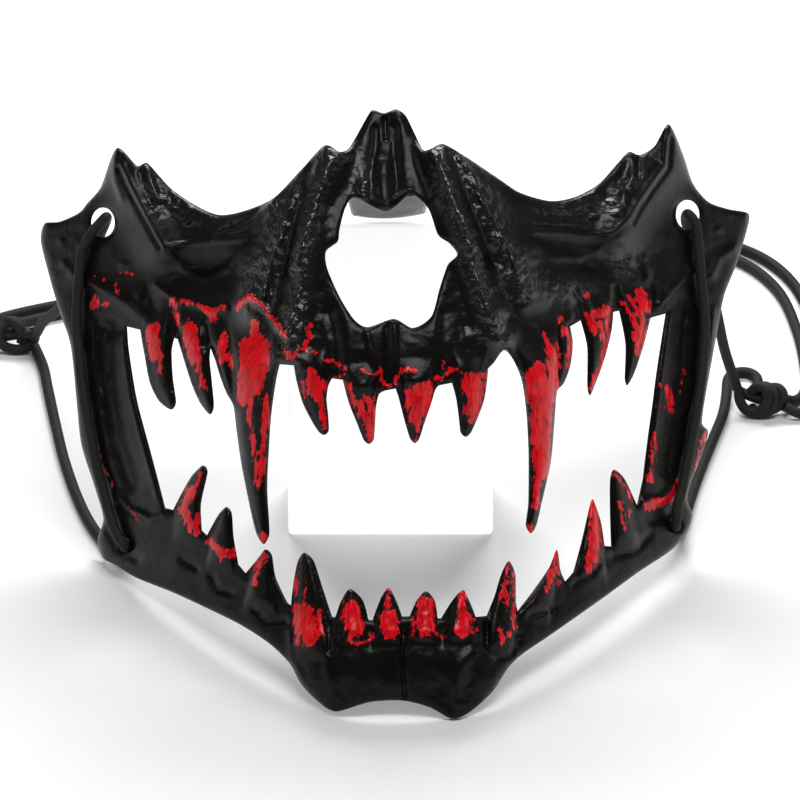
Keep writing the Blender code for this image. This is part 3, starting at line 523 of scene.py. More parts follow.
# Carved strokes on the front: points, height (below zero for a groove) and half width.
STROKES = [
    # nose bridge: lens, flanking grooves, columns and the notch on top
    ([(-1, 71), (-1.2, 65), (-0.8, 59.5)], 1.5, 2.3),
    ([(2.4, 81), (1.9, 74), (2.6, 65), (1.4, 60)], -0.7, 1),
    ([(-2.8, 81), (-3.1, 76), (-4.5, 68), (-4.6, 61)], -0.7, 1),
    ([(-5, 82), (-6.6, 76), (-7.3, 68), (-7.6, 61)], 0.7, 1.8),
    ([(3.8, 83.5), (4.8, 78), (5.3, 70), (6.2, 62)], 0.8, 1.8), ([(-0.2, 86), (-0.1, 78)], -1.3, 0.7),
    ([(-9.8, 61.8), (-5, 61.4), (-1, 58.4), (2.6, 61.5), (6.4, 62.8), (10.6, 60)], 0.8, 0.8),
    # brow ridges, the cracks beside them and the valleys between them
    ([(-15.8, 72), (-19.2, 64), (-21.4, 57), (-24.3, 50), (-26.4, 43)], 1.2, 1.1),
    ([(-25.6, 36), (-27.8, 30), (-30.4, 24)], 0.9, 0.45),
    ([(-21.5, 72), (-24, 63), (-26.2, 56), (-28.6, 48), (-30.5, 41)], -1.3, 1.4),
    ([(-25.5, 67), (-28.8, 58), (-31.2, 50), (-34.2, 42), (-36, 35)], 1, 1.1),
    ([(-28.6, 66), (-32.6, 56), (-35, 48)], -0.9, 0.8),
    ([(13.2, 73), (15.8, 67), (18.4, 60), (21.2, 53), (22.7, 46)], 1.2, 1.1),
    ([(23, 42), (25.3, 34), (29.6, 23)], 0.9, 0.45),
    ([(18, 73), (21, 65), (23.8, 57), (26.5, 49), (29, 42)], -1.3, 1.5),
    ([(20.2, 72), (23.6, 68), (26.2, 60), (29.6, 54), (32.2, 48), (34.2, 44), (36.6, 38)], 1, 0.7),
    # sharp edges below the spikes
    ([(-75.3, 73.5), (-72, 66), (-68, 58), (-64.2, 50.5)], 1, 0.8),
    ([(-76.3, 72.5), (-73.1, 65), (-69.1, 57), (-65.2, 49.5)], -0.9, 0.6),
    ([(-77.6, 75), (-77.4, 69), (-75.6, 63.5)], 0.9, 0.9),
    ([(-68.2, 73), (-67, 68), (-65.2, 63.5)], 1.2, 1), ([(-70.2, 71), (-69, 66), (-67.2, 62)], -0.9, 0.8),
    ([(79.6, 79), (78.4, 68.6), (74, 62.8), (70.4, 58), (67.8, 53.4), (63.4, 50)], 1, 0.8),
    ([(80.8, 76), (79.8, 67.4), (75.2, 61.6), (71.6, 56.6), (69, 52)], -0.9, 0.6),
    ([(69.6, 71.2), (69.6, 65)], 1.1, 1.1), ([(71.4, 70.6), (71, 65.6)], -0.9, 0.7),
    # cheekbone shelves and the lips of the hollows under them
    ([(-63.6, 49.4), (-56, 50.4), (-48, 51), (-41, 51.2)], 1.2, 1),
    ([(-63.2, 47.6), (-57.4, 42.2), (-52, 40.3), (-46, 42.8), (-40.8, 48.6)], 1, 1.3),
    ([(62, 49.6), (55, 48.8), (49, 50.2), (41, 50.6)], 1.2, 1),
    ([(64.6, 47.6), (59, 44.6), (53, 42.6), (46, 43.2), (41.5, 46.6)], 0.8, 1.4),
    # scoop wrinkles
    ([(-50, 51.6), (-41, 54.2), (-34, 60)], 0.7, 0.5), ([(-48, 53.6), (-39, 57), (-32, 63.5)], -0.6, 0.5),
    ([(-46, 55.6), (-38, 59), (-30.6, 66)], 0.6, 0.5), ([(41, 53.4), (48, 52.6), (54, 52.4)], 0.5, 0.4),
    ([(40, 55.6), (48, 54.8), (56, 54.8)], -0.5, 0.4), ([(40, 57.4), (48, 56.8), (58, 57.2)], 0.5, 0.4),
    # strut tops: the rounded band over each channel
    ([(-88, 41.5), (-80.5, 37.6), (-74.5, 33.6), (-71.4, 30.5)], 1.6, 2),
    ([(-66.4, 38.6), (-63, 36.2), (-60, 33)], 0.9, 1),
    ([(76.4, 28.6), (80.4, 33.4), (85.6, 38.4)], 1.3, 1.4),
    ([(71.4, 41.5), (74.4, 35.5), (76.4, 29.5)], 1, 1.3),
    ([(91.4, 37), (93.6, 41.5), (98, 44.4)], 0.9, 1.3),
    # struts: hollow channel with a raised rim either side
    ([(-81, 27), (-81.4, 12), (-79, -4), (-75.4, -17)], -2.3, 2.9),
    ([(-76.6, 25), (-75, 8), (-71.6, -7), (-68, -21)], 0.9, 0.9),
    ([(-84.9, 29), (-85, 18), (-83.4, 4)], 0.9, 0.8),
    ([(83.2, 27), (81.6, 12), (79.4, -3), (76.6, -17)], -2.3, 2.9),
    ([(79.2, 26), (76.2, 10), (73.4, -8), (71.6, -20)], 0.9, 0.9),
    ([(91.6, 27), (90.4, 14), (88, 2)], 0.7, 0.8),
    # strut feet
    ([(-80.5, -20), (-76.5, -24.5), (-70.5, -27.5), (-66.5, -26.5)], 1.2, 1.2),
    ([(-83, -30), (-79.5, -35.5), (-74.5, -38.5)], -1, 1.6),
    ([(70.2, -26.8), (75, -26.6), (79.4, -22.8)], 1.5, 1.4), ([(72, -32), (77, -30.5)], -1.6, 2),
    # grooves under the side teeth
    ([(-53.4, -44), (-51.6, -48), (-48.2, -48.6)], -1.2, 0.9),
    ([(-41.6, -53.5), (-38.4, -57.4), (-33, -57)], -1.3, 0.9), ([(-61.5, -39), (-57.5, -41.5)], -1, 0.9),
    ([(36.6, -57.6), (42.6, -56.2)], -1.3, 0.9), ([(49.2, -49.4), (54, -47), (57, -43.4)], -1.1, 0.9),
    ([(61, -41.6), (67, -40.6), (71, -36.4)], -1, 1.2),
    # chin: middle groove, canine sockets and the two tips
    ([(0.2, -61.5), (-0.1, -70), (0.3, -80)], -1.3, 0.8),
    ([(23.6, -59), (24.2, -66), (27, -69.6), (30.8, -68.6), (32.6, -63.4)], -1.3, 0.8),
    ([(20.4, -67), (16.4, -71), (14.6, -77), (15.4, -82)], 0.9, 1.8),
    ([(-20.4, -62), (-21, -70), (-20, -79)], 0.9, 1.9),
    ([(-31.4, -60), (-31.6, -68), (-27.6, -76)], 0.8, 0.8), ([(-20, -58), (-20.6, -66)], -0.8, 0.7),
    ([(-9, -60.5), (-9, -65)], -0.5, 1), ([(1.4, -60.5), (1.6, -65)], -0.5, 1),
    ([(11.6, -60.5), (11.4, -65)], -0.5, 1),
    # muzzle: folds between nose hole and teeth
    ([(-1.6, 25), (-1.8, 18), (-2, 9)], -0.9, 0.8), ([(0.6, 25.5), (0.8, 18), (0.6, 9.5)], 0.7, 0.9),
    ([(-7.2, 24), (-6.4, 20), (-5.6, 15)], 0.7, 0.9),
    ([(-15.8, 14.5), (-16, 22), (-17.4, 29)], -0.8, 1.6),
    ([(14, 12.5), (13.6, 20), (14.6, 28)], -0.8, 1.6), ([(-30.6, 16.5), (-31, 22)], -1, 1.4),
    ([(30.4, 18.5), (32.4, 26)], -1, 1.6),
    ([(-43.5, 32), (-40, 34.6), (-36.6, 32.4), (-33.4, 27.6), (-30.2, 23.2)], 1.3, 0.9),
    ([(-60.8, 34.8), (-55.2, 33.2), (-51, 30.6), (-47, 31.6)], 0.9, 1),
    ([(-53.2, 27), (-53.2, 21)], -1, 1), ([(-62, 30), (-61.8, 25)], -1, 1),
    ([(52, 34), (52.6, 26)], -1, 1.1), ([(63.4, 34), (63.8, 28.5)], -1, 1),
]
# Hollows and pebbles: centre, half sizes and height.
DENTS = [
    ((-52, 46.4), 9, 3.2, -1.6), ((50, 46.8), 9, 2.8, -1.6), ((-68.4, 34.6), 2.6, 4.2, -1.8),
    ((72.6, 36.6), 1.1, 2.2, 1), ((73, 33), 2.6, 4, -1.2), ((38.4, 31.4), 2.4, 1.6, -1.2),
    ((-63.2, 63.2), 1.5, 1.1, 0.9), ((-61, 60.6), 1.4, 1.1, 0.8), ((-58.8, 58.8), 1.6, 1.2, 0.9),
    ((-57, 56.6), 1.2, 1, 0.8), ((-60.4, 64.4), 1.2, 0.9, 0.7), ((-56, 60), 1.2, 0.9, 0.6),
    ((56, 58.2), 1.7, 0.8, 0.8), ((63, 58.2), 1.4, 0.9, 0.9), ((57.4, 60.6), 1.5, 0.7, 0.6),
    ((58.2, 54.4), 2, 0.8, 0.8), ((63.6, 55.2), 1.8, 0.8, 0.8), ((66.6, 60.6), 1.1, 1.8, 0.8),
    ((68.2, 63.6), 1.2, 1.4, 0.8), ((64.6, 62), 1.6, 0.8, 0.6), ((64.2, 43.2), 1.4, 1.2, 0.8),
    ((68, 42), 1.5, 1.7, 0.9), ((66.6, 39), 1.5, 1, 0.7), ((57.6, 41.4), 1.6, 1.2, 0.7),
    ((-92.8, 45.8), 1, 1.2, 0.8), ((-90.8, 43.4), 1.2, 1.4, 0.7), ((-93.6, 52.4), 0.8, 1, 0.6),
    ((-88.4, 50.6), 0.5, 1.8, 0.6), ((93.6, 49.6), 0.8, 0.7, 0.7), ((-75.4, 45), 1.8, 1.2, 0.5),
    ((-8.2, 8.4), 2.8, 2.4, 1), ((5.6, 9.6), 2.6, 1.8, 0.8), ((-79, 27), 3.4, 3, -1.2),
    ((24, 21.6), 1.6, 1.8, 0.6), ((20.4, 24.4), 1.2, 1.4, -0.6), ((36, 15), 2.4, 2.4, 0.6),
    ((-3.6, -75.4), 1.4, 3, 0.4), ((24, -76), 4, 4, 0.8), ((-24, -76), 4, 4, 0.8),
]
# Areas of broken, pitted surface: centre, half sizes and strength.
PITTED = [
    ((50, 34), 8, 5, 1), ((-36, 38), 6, 7, 0.8), ((34, 38), 7, 8, 0.8), ((-62, 61), 6, 5, 0.6),
    ((60, 57), 8, 4, 0.5), ((66, 41), 5, 5, 0.8), ((-7, 66), 3, 7, 0.7), ((-24, 24), 5, 5, 0.5),
    ((25, 24), 7, 6, 0.5), ((38, 55), 7, 5, 0.5), ((-46, 56), 14, 4, 0.5), ((50, 56), 14, 3.6, 0.6),
    ((-67, 66), 3, 5, 0.5), ((70, 66), 4, 4, 0.5),
]
BROWS = [path for path, _, _ in CRESTS[:4]]

# Red enamel: points and half width of every brush mark.
RED_MARKS = [
    ([(-68.2, 25.8), (-67.4, 19.5)], 2.3), ([(-66.7, 28), (-66.2, 14.5)], 0.9),
    ([(-57.6, 26), (-56.2, 18)], 2.5), ([(-56, 19), (-53.8, 9.5)], 1.2),
    ([(-47.7, 24), (-48.6, 17)], 1.4), ([(-46.4, 19), (-45.6, 15)], 1), ([(-38.6, 27), (-39.5, 20)], 1.3),
    ([(-40.8, 20.5), (-41.6, 12), (-41.9, 6)], 2.7), ([(-38.5, 22), (-39, 10)], 3),
    ([(-36.8, 20), (-38.2, 12)], 2.5), ([(-40.6, 6), (-40.9, 0), (-40.4, -8), (-39.3, -16)], 1),
    ([(-36.4, 6), (-36.8, -2), (-37.8, -10), (-39, -18)], 1.2), ([(-38.5, -33), (-38.1, -35)], 1.5),
    ([(-43, 32), (-40, 34.4)], 1.4), ([(-40, 34.4), (-36.8, 32.4), (-33.6, 27.8), (-30.4, 23.4)], 0.8),
    ([(-62, 34), (-61, 30), (-60.5, 28)], 1), ([(-60.4, 34.4), (-55, 33), (-51.6, 30.4)], 0.8),
    ([(-52, 31), (-50.4, 28.6)], 1.3), ([(-50.8, 30), (-47.6, 32)], 1),
    ([(-84.8, 33.4), (-84.2, 35.6)], 1.2), ([(-84.5, 33.2), (-80.5, 34.2)], 0.8),
    ([(-84, 42), (-83.8, 42.4)], 0.5), ([(-82, 41.4), (-81.8, 41.2)], 0.4),
    ([(-76.8, 42.9), (-73.6, 42.5)], 0.45), ([(-78.4, 39.5), (-77.4, 36.5)], 0.45),
    ([(-29.8, 18.8), (-28.6, 16.4)], 1), ([(-29, 17.4), (-26.4, 19), (-23.6, 19.6), (-21.9, 18)], 0.6),
    ([(-24.6, 19.4), (-24, 23), (-22.8, 26)], 1), ([(-55, -14.4), (-57.6, -19)], 0.7),
    ([(-58.8, -20), (-60.6, -25), (-58.6, -30)], 1.7), ([(-57, -27), (-57.6, -32)], 1.1),
    ([(-53.2, -34.6), (-50, -38.2)], 1.6), ([(-50, -38), (-47.6, -37.6)], 1.6),
    ([(-38, -38.4), (-40.4, -42), (-41, -46)], 1.1), ([(-76.4, -24), (-74, -27.6)], 0.5),
    ([(-84.4, -6), (-83.8, -12), (-82, -15), (-80, -19)], 0.4), ([(-92.6, 25), (-92.2, 20.6)], 0.5),
    ([(-23, 12.6), (-23, 7)], 1.9), ([(-21.4, 11), (-20.8, 4), (-19.8, -3)], 1.1),
    ([(-25.4, 12), (-25.4, 6)], 0.7), ([(-19.8, 10.4), (-19.5, 8)], 0.9),
    ([(-19.2, 16), (-17, 15.4), (-14, 14.2)], 0.6),
    ([(-13.6, 14), (-13.5, 12), (-15, 11.2), (-17, 11)], 0.5), ([(-13, 9.4), (-11.6, 6), (-10, 2)], 0.9),
    ([(-11.6, 4.6), (-9.4, 2.6), (-7.6, -1), (-6.9, -6)], 1.5),
    ([(-7.4, 4.6), (-6.4, 1), (-6.4, -5)], 1.5), ([(-9.4, 1), (-7.8, -3)], 1.5),
    ([(-5, 6.4), (-6, 4)], 0.6), ([(-9, 12.8), (-6, 11.4), (-4, 12)], 0.7),
    ([(-3.4, 13.2), (-3.5, 10), (-2, 8.2), (0, 8.4), (0.6, 10), (2, 12), (4, 13.4), (5.5, 12.5)], 0.8),
    ([(-4.2, 17.4), (-4.1, 17.6)], 0.35), ([(3.4, 6.6), (3.6, 3), (4.5, 0)], 0.9),
    ([(6.4, 6.6), (6, 3), (6, -2)], 2.5), ([(9, 8), (9, 4), (7.5, 0)], 1.8), ([(6.2, -1), (6, -4)], 1.2),
    ([(5.3, -7.4), (5.4, -7.8)], 0.9),
    ([(10.4, 8.4), (12, 10), (14, 10.4), (16, 12.2), (18, 12.2), (19.3, 11)], 0.8),
    ([(14, 15), (14, 12)], 0.35), ([(20.5, 9), (21.5, 4), (21, 0)], 1.9),
    ([(23.8, 10), (24.3, 6), (22.8, 1), (21.5, -2)], 1.5), ([(20, 10.4), (25.4, 10.2)], 0.9),
    ([(42.8, 21.4), (43.8, 17.4)], 0.8), ([(44.5, 17.5), (45, 12), (44.3, 3)], 1.8),
    ([(38.5, 10.4), (38.3, 4)], 1.9), ([(41, 12), (41.8, 4), (41.5, -8), (41, -18)], 2.2),
    ([(39, 3), (39.6, -8), (39.8, -20), (38.8, -27)], 1.5), ([(43.6, 0), (43.2, -10), (42.4, -18)], 0.9),
    ([(37, -33), (37.6, -34.4)], 1.4), ([(47.4, 26), (48.2, 21)], 0.7),
    ([(49.3, 22.5), (50, 18), (49.3, 12)], 1), ([(46, 19), (46.5, 12)], 0.7),
    ([(56, 26), (61, 27.4)], 1.8), ([(56.4, 26), (57, 22)], 1.5),
    ([(61.3, 26), (60.5, 19), (57.5, 9), (56, 5.5)], 1.1), ([(59, 24), (59.4, 20)], 1.2),
    ([(55.1, 31.8), (55.3, 32.2)], 0.9), ([(70.5, 32.4), (72, 28)], 2), ([(67.4, 31.4), (69.4, 28)], 1.1),
    ([(65.6, 29.8), (68.2, 26)], 0.8), ([(71, 27), (70.5, 20), (69.5, 15)], 1.4),
    ([(69, 26), (69.2, 20)], 1.2), ([(77.5, 4.5), (78.5, 1)], 1.4), ([(75.5, 0), (78.5, -1)], 0.8),
    ([(73.4, -7.5), (73, -12), (72.3, -17), (71.4, -21)], 0.8), ([(76.8, 9.5), (75.6, 5.5)], 0.45),
    ([(88.3, -7.6), (86.8, -12), (85, -18)], 0.6), ([(71, -28), (74.5, -27.4), (78, -25.8)], 1.6),
    ([(78.3, -25), (79.5, -21)], 0.6), ([(83, 10), (81, 4)], 0.3),
    ([(61.6, -18.4), (64, -21.5), (66.3, -26.5)], 0.6), ([(63, -26), (64, -33)], 0.6),
    ([(66, -29), (64, -34.5)], 0.5), ([(55.2, -26.4), (55.8, -33), (55, -40), (53.5, -45)], 1.9),
    ([(57, -34), (57.4, -40)], 0.6), ([(44.3, -40.4), (43.5, -45), (41.5, -50)], 1.3),
    ([(45, -44), (44.5, -49)], 0.7), ([(36.8, -54), (40, -53.4)], 0.4),
    ([(31, -43), (29.8, -47), (28.3, -52)], 0.9), ([(31.8, -45), (32, -55), (31.4, -62), (28, -65)], 0.7),
    ([(29.5, -50), (29.8, -56)], 0.7), ([(27.5, -61), (28.5, -65)], 0.6),
    ([(17.6, -50.5), (17, -56)], 1.3), ([(17.2, -57), (17, -61)], 2.3), ([(19.5, -57), (20.2, -62)], 0.7),
    ([(6.8, -53.5), (6.4, -60)], 2.6), ([(8.4, -54), (8, -61)], 1.3), ([(3.4, -58), (3.2, -62.5)], 0.8),
    ([(-3.4, -49), (-3.8, -56)], 0.9), ([(-3.5, -57), (-3.4, -60.4)], 2.8),
    ([(-1.6, -61), (-2.2, -62.8)], 0.6), ([(-13.8, -54.5), (-13.3, -59.4)], 2.9),
    ([(-16, -51.5), (-16.6, -57)], 0.7), ([(-29, -42), (-29.5, -50)], 0.7),
    ([(-27.2, -55), (-26, -62)], 3), ([(-29.4, -53), (-29.3, -63)], 1.2),
    ([(-23.2, -55), (-22.8, -61)], 1.4), ([(-26.5, -46), (-27.5, -53)], 0.5),
    ([(-16, -62), (-13, -64), (-9, -63.4), (-8, -61.5)], 0.6), ([(10, -62), (12.4, -63)], 0.8),
    ([(20.8, -60.5), (21.2, -61.6)], 0.6),
]
RED_LIMIT = 3.0
# Rough surface: scale, seed and octaves, and its height where the plate is plain and broken.
GRAINS = [(0.13, 3.1, 4, 0.30, 0.35), (0.50, 7.7, 4, 0.06, 0.50), (1.25, 1.3, 3, 0.02, 0.24)]
FRACTAL = (0.9, 2.1)
BROW_HALF = 4.0
BACK_RELIEF = 0.3


def rough(x, z, scale, seed, octaves):
    """Fractal noise at each point, about -1 to 1."""
    out = np.empty(len(x))
    for i, (a, b) in enumerate(zip(x.tolist(), z.tolist())):
        out[i] = noise.fractal(Vector((a * scale, b * scale, seed)), *FRACTAL, octaves)
    return out


def crown_over(x, z, path, root, tip):
    """Rounded height of a tapering tooth along its middle line, rising out of the gum."""
    pts = [Vector(p) for p in path]
    spans = [(b - a).length for a, b in zip(pts, pts[1:])]
    total, done = sum(spans), 0.0
    best = np.zeros(x.shape)
    for a, b, span in zip(pts, pts[1:], spans):
        dx, dz = (b - a) / span
        t = np.clip((x - a.x) * dx + (z - a.y) * dz, 0.0, span)
        off = np.hypot(x - a.x - t * dx, z - a.y - t * dz)
        s = (done + t) / total
        reach = tip + (root - tip) * (1.0 - s) ** CROWN_TAPER
        rise = smooth_step(*CROWN_RISE, s)
        best = np.maximum(best, np.sqrt(np.clip(reach ** 2 - off ** 2, 0.0, None)) * rise)
        done += span
    return best


def relief(x, z, clear):
    """Height of the sculpted surface above the plate, and how broken up it is."""
    crown = np.zeros(x.shape)
    for path, root, tip in TOOTH_BODIES:
        crown = np.maximum(crown, crown_over(x, z, path, root, tip))
    height = CROWN_HEIGHT * crown * smooth_step(0.0, CROWN_FADE, clear)
    carved = np.zeros(x.shape)
    for path, lift, width in STROKES:
        carved += lift * bell(distance_to_path(x, z, path), width)
    for *place, lift in DENTS:
        carved += lift * spot(x, z, *place)
    broken = np.zeros(x.shape)
    for path in BROWS:
        broken = np.maximum(broken, bell(distance_to_path(x, z, path), BROW_HALF))
    for *place, amount in PITTED:
        broken = np.maximum(broken, amount * spot(x, z, *place))
    for scale, seed, octaves, plain, on_breaks in GRAINS:
        carved += rough(x, z, scale, seed, octaves) * (plain + on_breaks * broken)
    return height + carved * smooth_step(0.0, CARVED_FADE, clear), broken


def red_depth(x, z):
    """How far inside the nearest brush mark each point is, in millimetres."""
    best = np.full(x.shape, -RED_LIMIT)
    for path, half in RED_MARKS:
        best = np.maximum(best, half - distance_to_path(x, z, path))
    return best


def store_values(mesh, name, values):
    layer = mesh.attributes.new(name, "FLOAT", "POINT")
    layer.data.foreach_set("value", np.asarray(values, dtype=np.float32))


def mask_side(bm, loops, side, step):
    """One face of the plate: its triangles and vertices, and the red and the breaks on each."""
    flat, tris = pattern_mesh(loops, step)
    x, z = flat[:, 0], flat[:, 1]
    clear = clearance(x, z, loops)
    lip = np.clip(clear / EDGE_ROUND, 0.0, 1.0)
    crown = np.sqrt(1.0 - (1.0 - lip) ** 2)
    half = 0.5 * (EDGE_WALL + (WALL - EDGE_WALL) * crown) * slope_at(x, z)
    height, broken = relief(x, z, clear)
    red = red_depth(x, z)
    if side > 0:
        height = -BACK_RELIEF * np.clip(height, -1.0, 3.0)
        red, broken = np.full(x.shape, -RED_LIMIT), broken * 0.0
    y = depth_at(x, z) + side * half - height
    verts = [bm.verts.new(world(*p)) for p in zip(x.tolist(), y.tolist(), z.tolist())]
    for a, b, c in tris.tolist():
        corners = (a, b, c) if side < 0 else (c, b, a)
        bm.faces.new([verts[k] for k in corners])
    return tris, verts, red.tolist(), broken.tolist()


def build_mask():
    loops = [smooth_loop(OUTLINE, EDGE_STEP), mouth_loop(), smooth_loop(NOSE_HOLE, EDGE_STEP)]
    loops += [oval(*hole) for hole in STRAP_HOLES]
    edge_count = sum(len(loop) for loop in loops)
    bm = bmesh.new()
    tris, front, front_red, front_broken = mask_side(bm, loops, -1.0, FRONT_STEP)
    _, back, back_red, back_broken = mask_side(bm, loops, 1.0, BACK_STEP)
    sides = {side for a, b, c in tris.tolist() for side in ((a, b), (b, c), (c, a))}
    for a, b in sorted(sides):
        if (b, a) not in sides and max(a, b) < edge_count:
            bm.faces.new((front[b], front[a], back[a], back[b]))
    bm.verts.index_update()
    mask = new_piece("mask_moulding", bm, mask_material())
    store_values(mask.data, "red_depth", front_red + back_red)
    store_values(mask.data, "broken", front_broken + back_broken)
    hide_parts("mask")


def mask_material():
    material, shader, tree, coords = new_material("black_plastic_red_enamel")
    along = tree.nodes.new("ShaderNodeMapping")
    along.inputs["Rotation"].default_value = (LEAN, 0.0, 0.0)
    along.inputs["Scale"].default_value = (1.0, 1.0, 0.22)
    tree.links.new(coords, along.inputs["Vector"])
    streak = noise_node(tree, along.outputs["Vector"], 760.0, 4.0, 0.65, 0.4)
    blotch = noise_node(tree, coords, 420.0, 4.0, 0.7, 0.5)
    depth = add_node(tree, "ShaderNodeAttribute", attribute_name="red_depth").outputs["Fac"]
    spread = math_node(tree, "MULTIPLY_ADD", math_node(tree, "SUBTRACT", streak, 0.55), 4.2, depth)
    spread = math_node(tree, "MULTIPLY_ADD", math_node(tree, "SUBTRACT", blotch, 0.53), 3.2, spread)
    red = ramp_between(tree, spread, -0.10, 0.16)
    shade = noise_node(tree, coords, 60.0, 3.0)
    black = mix_colour(tree, shade, *PLASTIC_TONES)
    tint = ramp_between(tree, streak, 0.35, 0.62)
    enamel = mix_colour(tree, tint, *ENAMEL_TONES)
    tree.links.new(mix_colour(tree, red, black, enamel), shader.inputs["Base Color"])
    worn = noise_node(tree, coords, 130.0, 5.0, 0.6)
    broken = add_node(tree, "ShaderNodeAttribute", attribute_name="broken").outputs["Fac"]
    plain_rough = math_node(tree, "MULTIPLY_ADD", worn, 0.26, 0.16)
    plain_rough = math_node(tree, "MULTIPLY_ADD", broken, -0.08, plain_rough)
    tree.links.new(math_node(tree, "MULTIPLY_ADD", red, -0.08, plain_rough), shader.inputs["Roughness"])
    gloss = math_node(tree, "MULTIPLY_ADD", broken, 0.55, 0.17)
    tree.links.new(math_node(tree, "MULTIPLY_ADD", red, 0.12, gloss), shader.inputs["Specular IOR Level"])
    grain = noise_node(tree, coords, 1100.0, 4.0)
    cracks = noise_node(tree, coords, 430.0, 4.0, 0.5, 0.5)
    depth_of_cracks = math_node(tree, "MULTIPLY", cracks, broken)
    normal = bump(tree, grain, 0.22, 0.0003)
    normal = bump(tree, depth_of_cracks, 0.8, 0.0008, normal)
    normal = bump(tree, red, 0.6, 0.0002, normal)
    normal = bump(tree, streak, 0.15, 0.0003, normal)
    tree.links.new(normal, shader.inputs["Normal"])
    return material


# ---------------- nose rest

REST_HALF = 12.0
REST_FRONT, REST_BACK = (4.0, 62.5), (33.5, 56.4)
REST_WALL = 2.4
REST_SAG = 1.2
REST_TAPER = 0.12
REST_CURL = 1.6
REST_RIM, REST_RIM_WALL = 0.12, 0.45
REST_CELLS = (36, 36)


def rest_outline(u, t):
    """A corner of the plate, with its far end rounded off."""
    y = REST_FRONT[0] + (REST_BACK[0] - REST_FRONT[0]) * t
    z = REST_FRONT[1] + (REST_BACK[1] - REST_FRONT[1]) * t + REST_SAG * u * u
    narrow = 1.0 - REST_TAPER * t
    return u * REST_HALF * narrow, y - REST_CURL * u ** 4 * t, z


def build_nose_rest():
    """The plate as rings of vertices, each once round a row of its top and underside."""
    cells_x, cells_y = REST_CELLS
    bm = bmesh.new()
    rings = []
    for j in range(cells_y + 1):
        top, low = [], []
        for i in range(cells_x + 1):
            u, t = 2.0 * i / cells_x - 1.0, j / cells_y
            x, y, z = rest_outline(u, t)
            rim = min(1.0 - abs(u), 1.0 - t, REST_RIM) / REST_RIM
            crown = math.sqrt(1.0 - (1.0 - rim) ** 2)
            half = 0.5 * REST_WALL * (REST_RIM_WALL + (1.0 - REST_RIM_WALL) * crown)
            top.append(bm.verts.new(world(x, y, z + half)))
            low.append(bm.verts.new(world(x, y, z - half)))
        rings.append(low + top[::-1])
    bridge(bm, rings)
    for ring in (rings[0][::-1], rings[-1]):
        for i in range(cells_x):
            bm.faces.new((ring[i], ring[i + 1], ring[-2 - i], ring[-1 - i]))
    bmesh.ops.recalc_face_normals(bm, faces=bm.faces)
    new_piece("nose_rest_plate", bm, rest_material())


def rest_material():
    material, shader, tree, coords = new_material("bare_plastic_underside")
    cloud = noise_node(tree, coords, 180.0, 4.0)
    tree.links.new(mix_colour(tree, cloud, *UNDERSIDE_TONES), shader.inputs["Base Color"])
    tree.links.new(math_node(tree, "MULTIPLY_ADD", cloud, 0.20, 0.22), shader.inputs["Roughness"])
    shader.inputs["Specular IOR Level"].default_value = 0.14
    tree.links.new(bump(tree, cloud, 0.1, 0.0003), shader.inputs["Normal"])
    return material


# ---------------- strap

CORD_RADIUS = 1.5
CORD_GAP = 0.45
RIB_PITCH = 0.55
RIB_DEPTH = 0.04
CORD_SIDES = 14
KNOT_SQUASH = 0.86
CURVE_CUTS = 16
SIDE_CORDS = {
    "side_cord_left": (
        [(-104.5, 127.5, 6.6), (-103.6, 124.6, 9.4), (-101.5, 114.5, 19), (-96.5, 99, 33),
         (-91.5, 84, 50), (-87, 70, 67.5), (-83.9, 61.5, 80), (-82.4, 56.9, 86.6),
         (-82.5, 51.6, 90.6)],
        [(-85.2, 53.6), (-87.4, 49.4), (-88.8, 41.1), (-89.8, 29.7), (-89.3, 20), (-88.9, 12.7),
         (-87.8, 4), (-86.6, -4.4), (-85.3, -12), (-83.7, -18.6), (-82.2, -25),
         (-80.6, -30.4)],
        [(-76.9, 2.8, 10.9), (-76.6, 8.6, 7.6), (-78, 12.8, 3.6), (-81.7, 18, 1.8),
         (-86.6, 29.5, 1.6), (-90.9, 45, 1.6), (-95, 66, 1.6), (-97.8, 86, 1.6),
         (-100.2, 105, 1.6), (-101.8, 118, 1.6), (-104.5, 128.6, 2.2)],
    ),
    "side_cord_right": (
        [(98.6, 96.4, 7.2), (97.2, 95.5, 12.5), (94.6, 91.5, 24), (92, 85, 41),
         (89.3, 78, 54), (86.5, 70, 67), (83.9, 62.5, 79.5), (82.8, 57.8, 86.4),
         (83.4, 53.4, 90.8)],
        [(87.3, 51), (87.8, 44), (88.2, 37), (88.7, 29.7), (88.9, 22.4), (88.4, 15.1),
         (87.4, 7.7), (86.1, 0.4), (84.7, -6.8), (82.6, -16.2), (81, -23.2), (79.4, -28.8)],
        [(79.9, 6.6, 15.8), (79.8, 11.2, 13), (80.3, 17, 9), (81.8, 26, 3),
         (84.5, 44, 1.6), (87.6, 60, 1.6), (91.2, 76.5, 1.6), (94.4, 91, 1.6),
         (95.6, 102, 1.6), (96, 109.6, 1.6), (96.8, 112.6, 1.6), (98.5, 114.5, 1.6),
         (100.5, 115.1, 1.6), (102.5, 114.5, 1.6), (104.1, 112.7, 1.6), (104.8, 109.6, 1.7),
         (104.7, 105, 2.6), (104.5, 101.6, 3.6)],
    ),
}
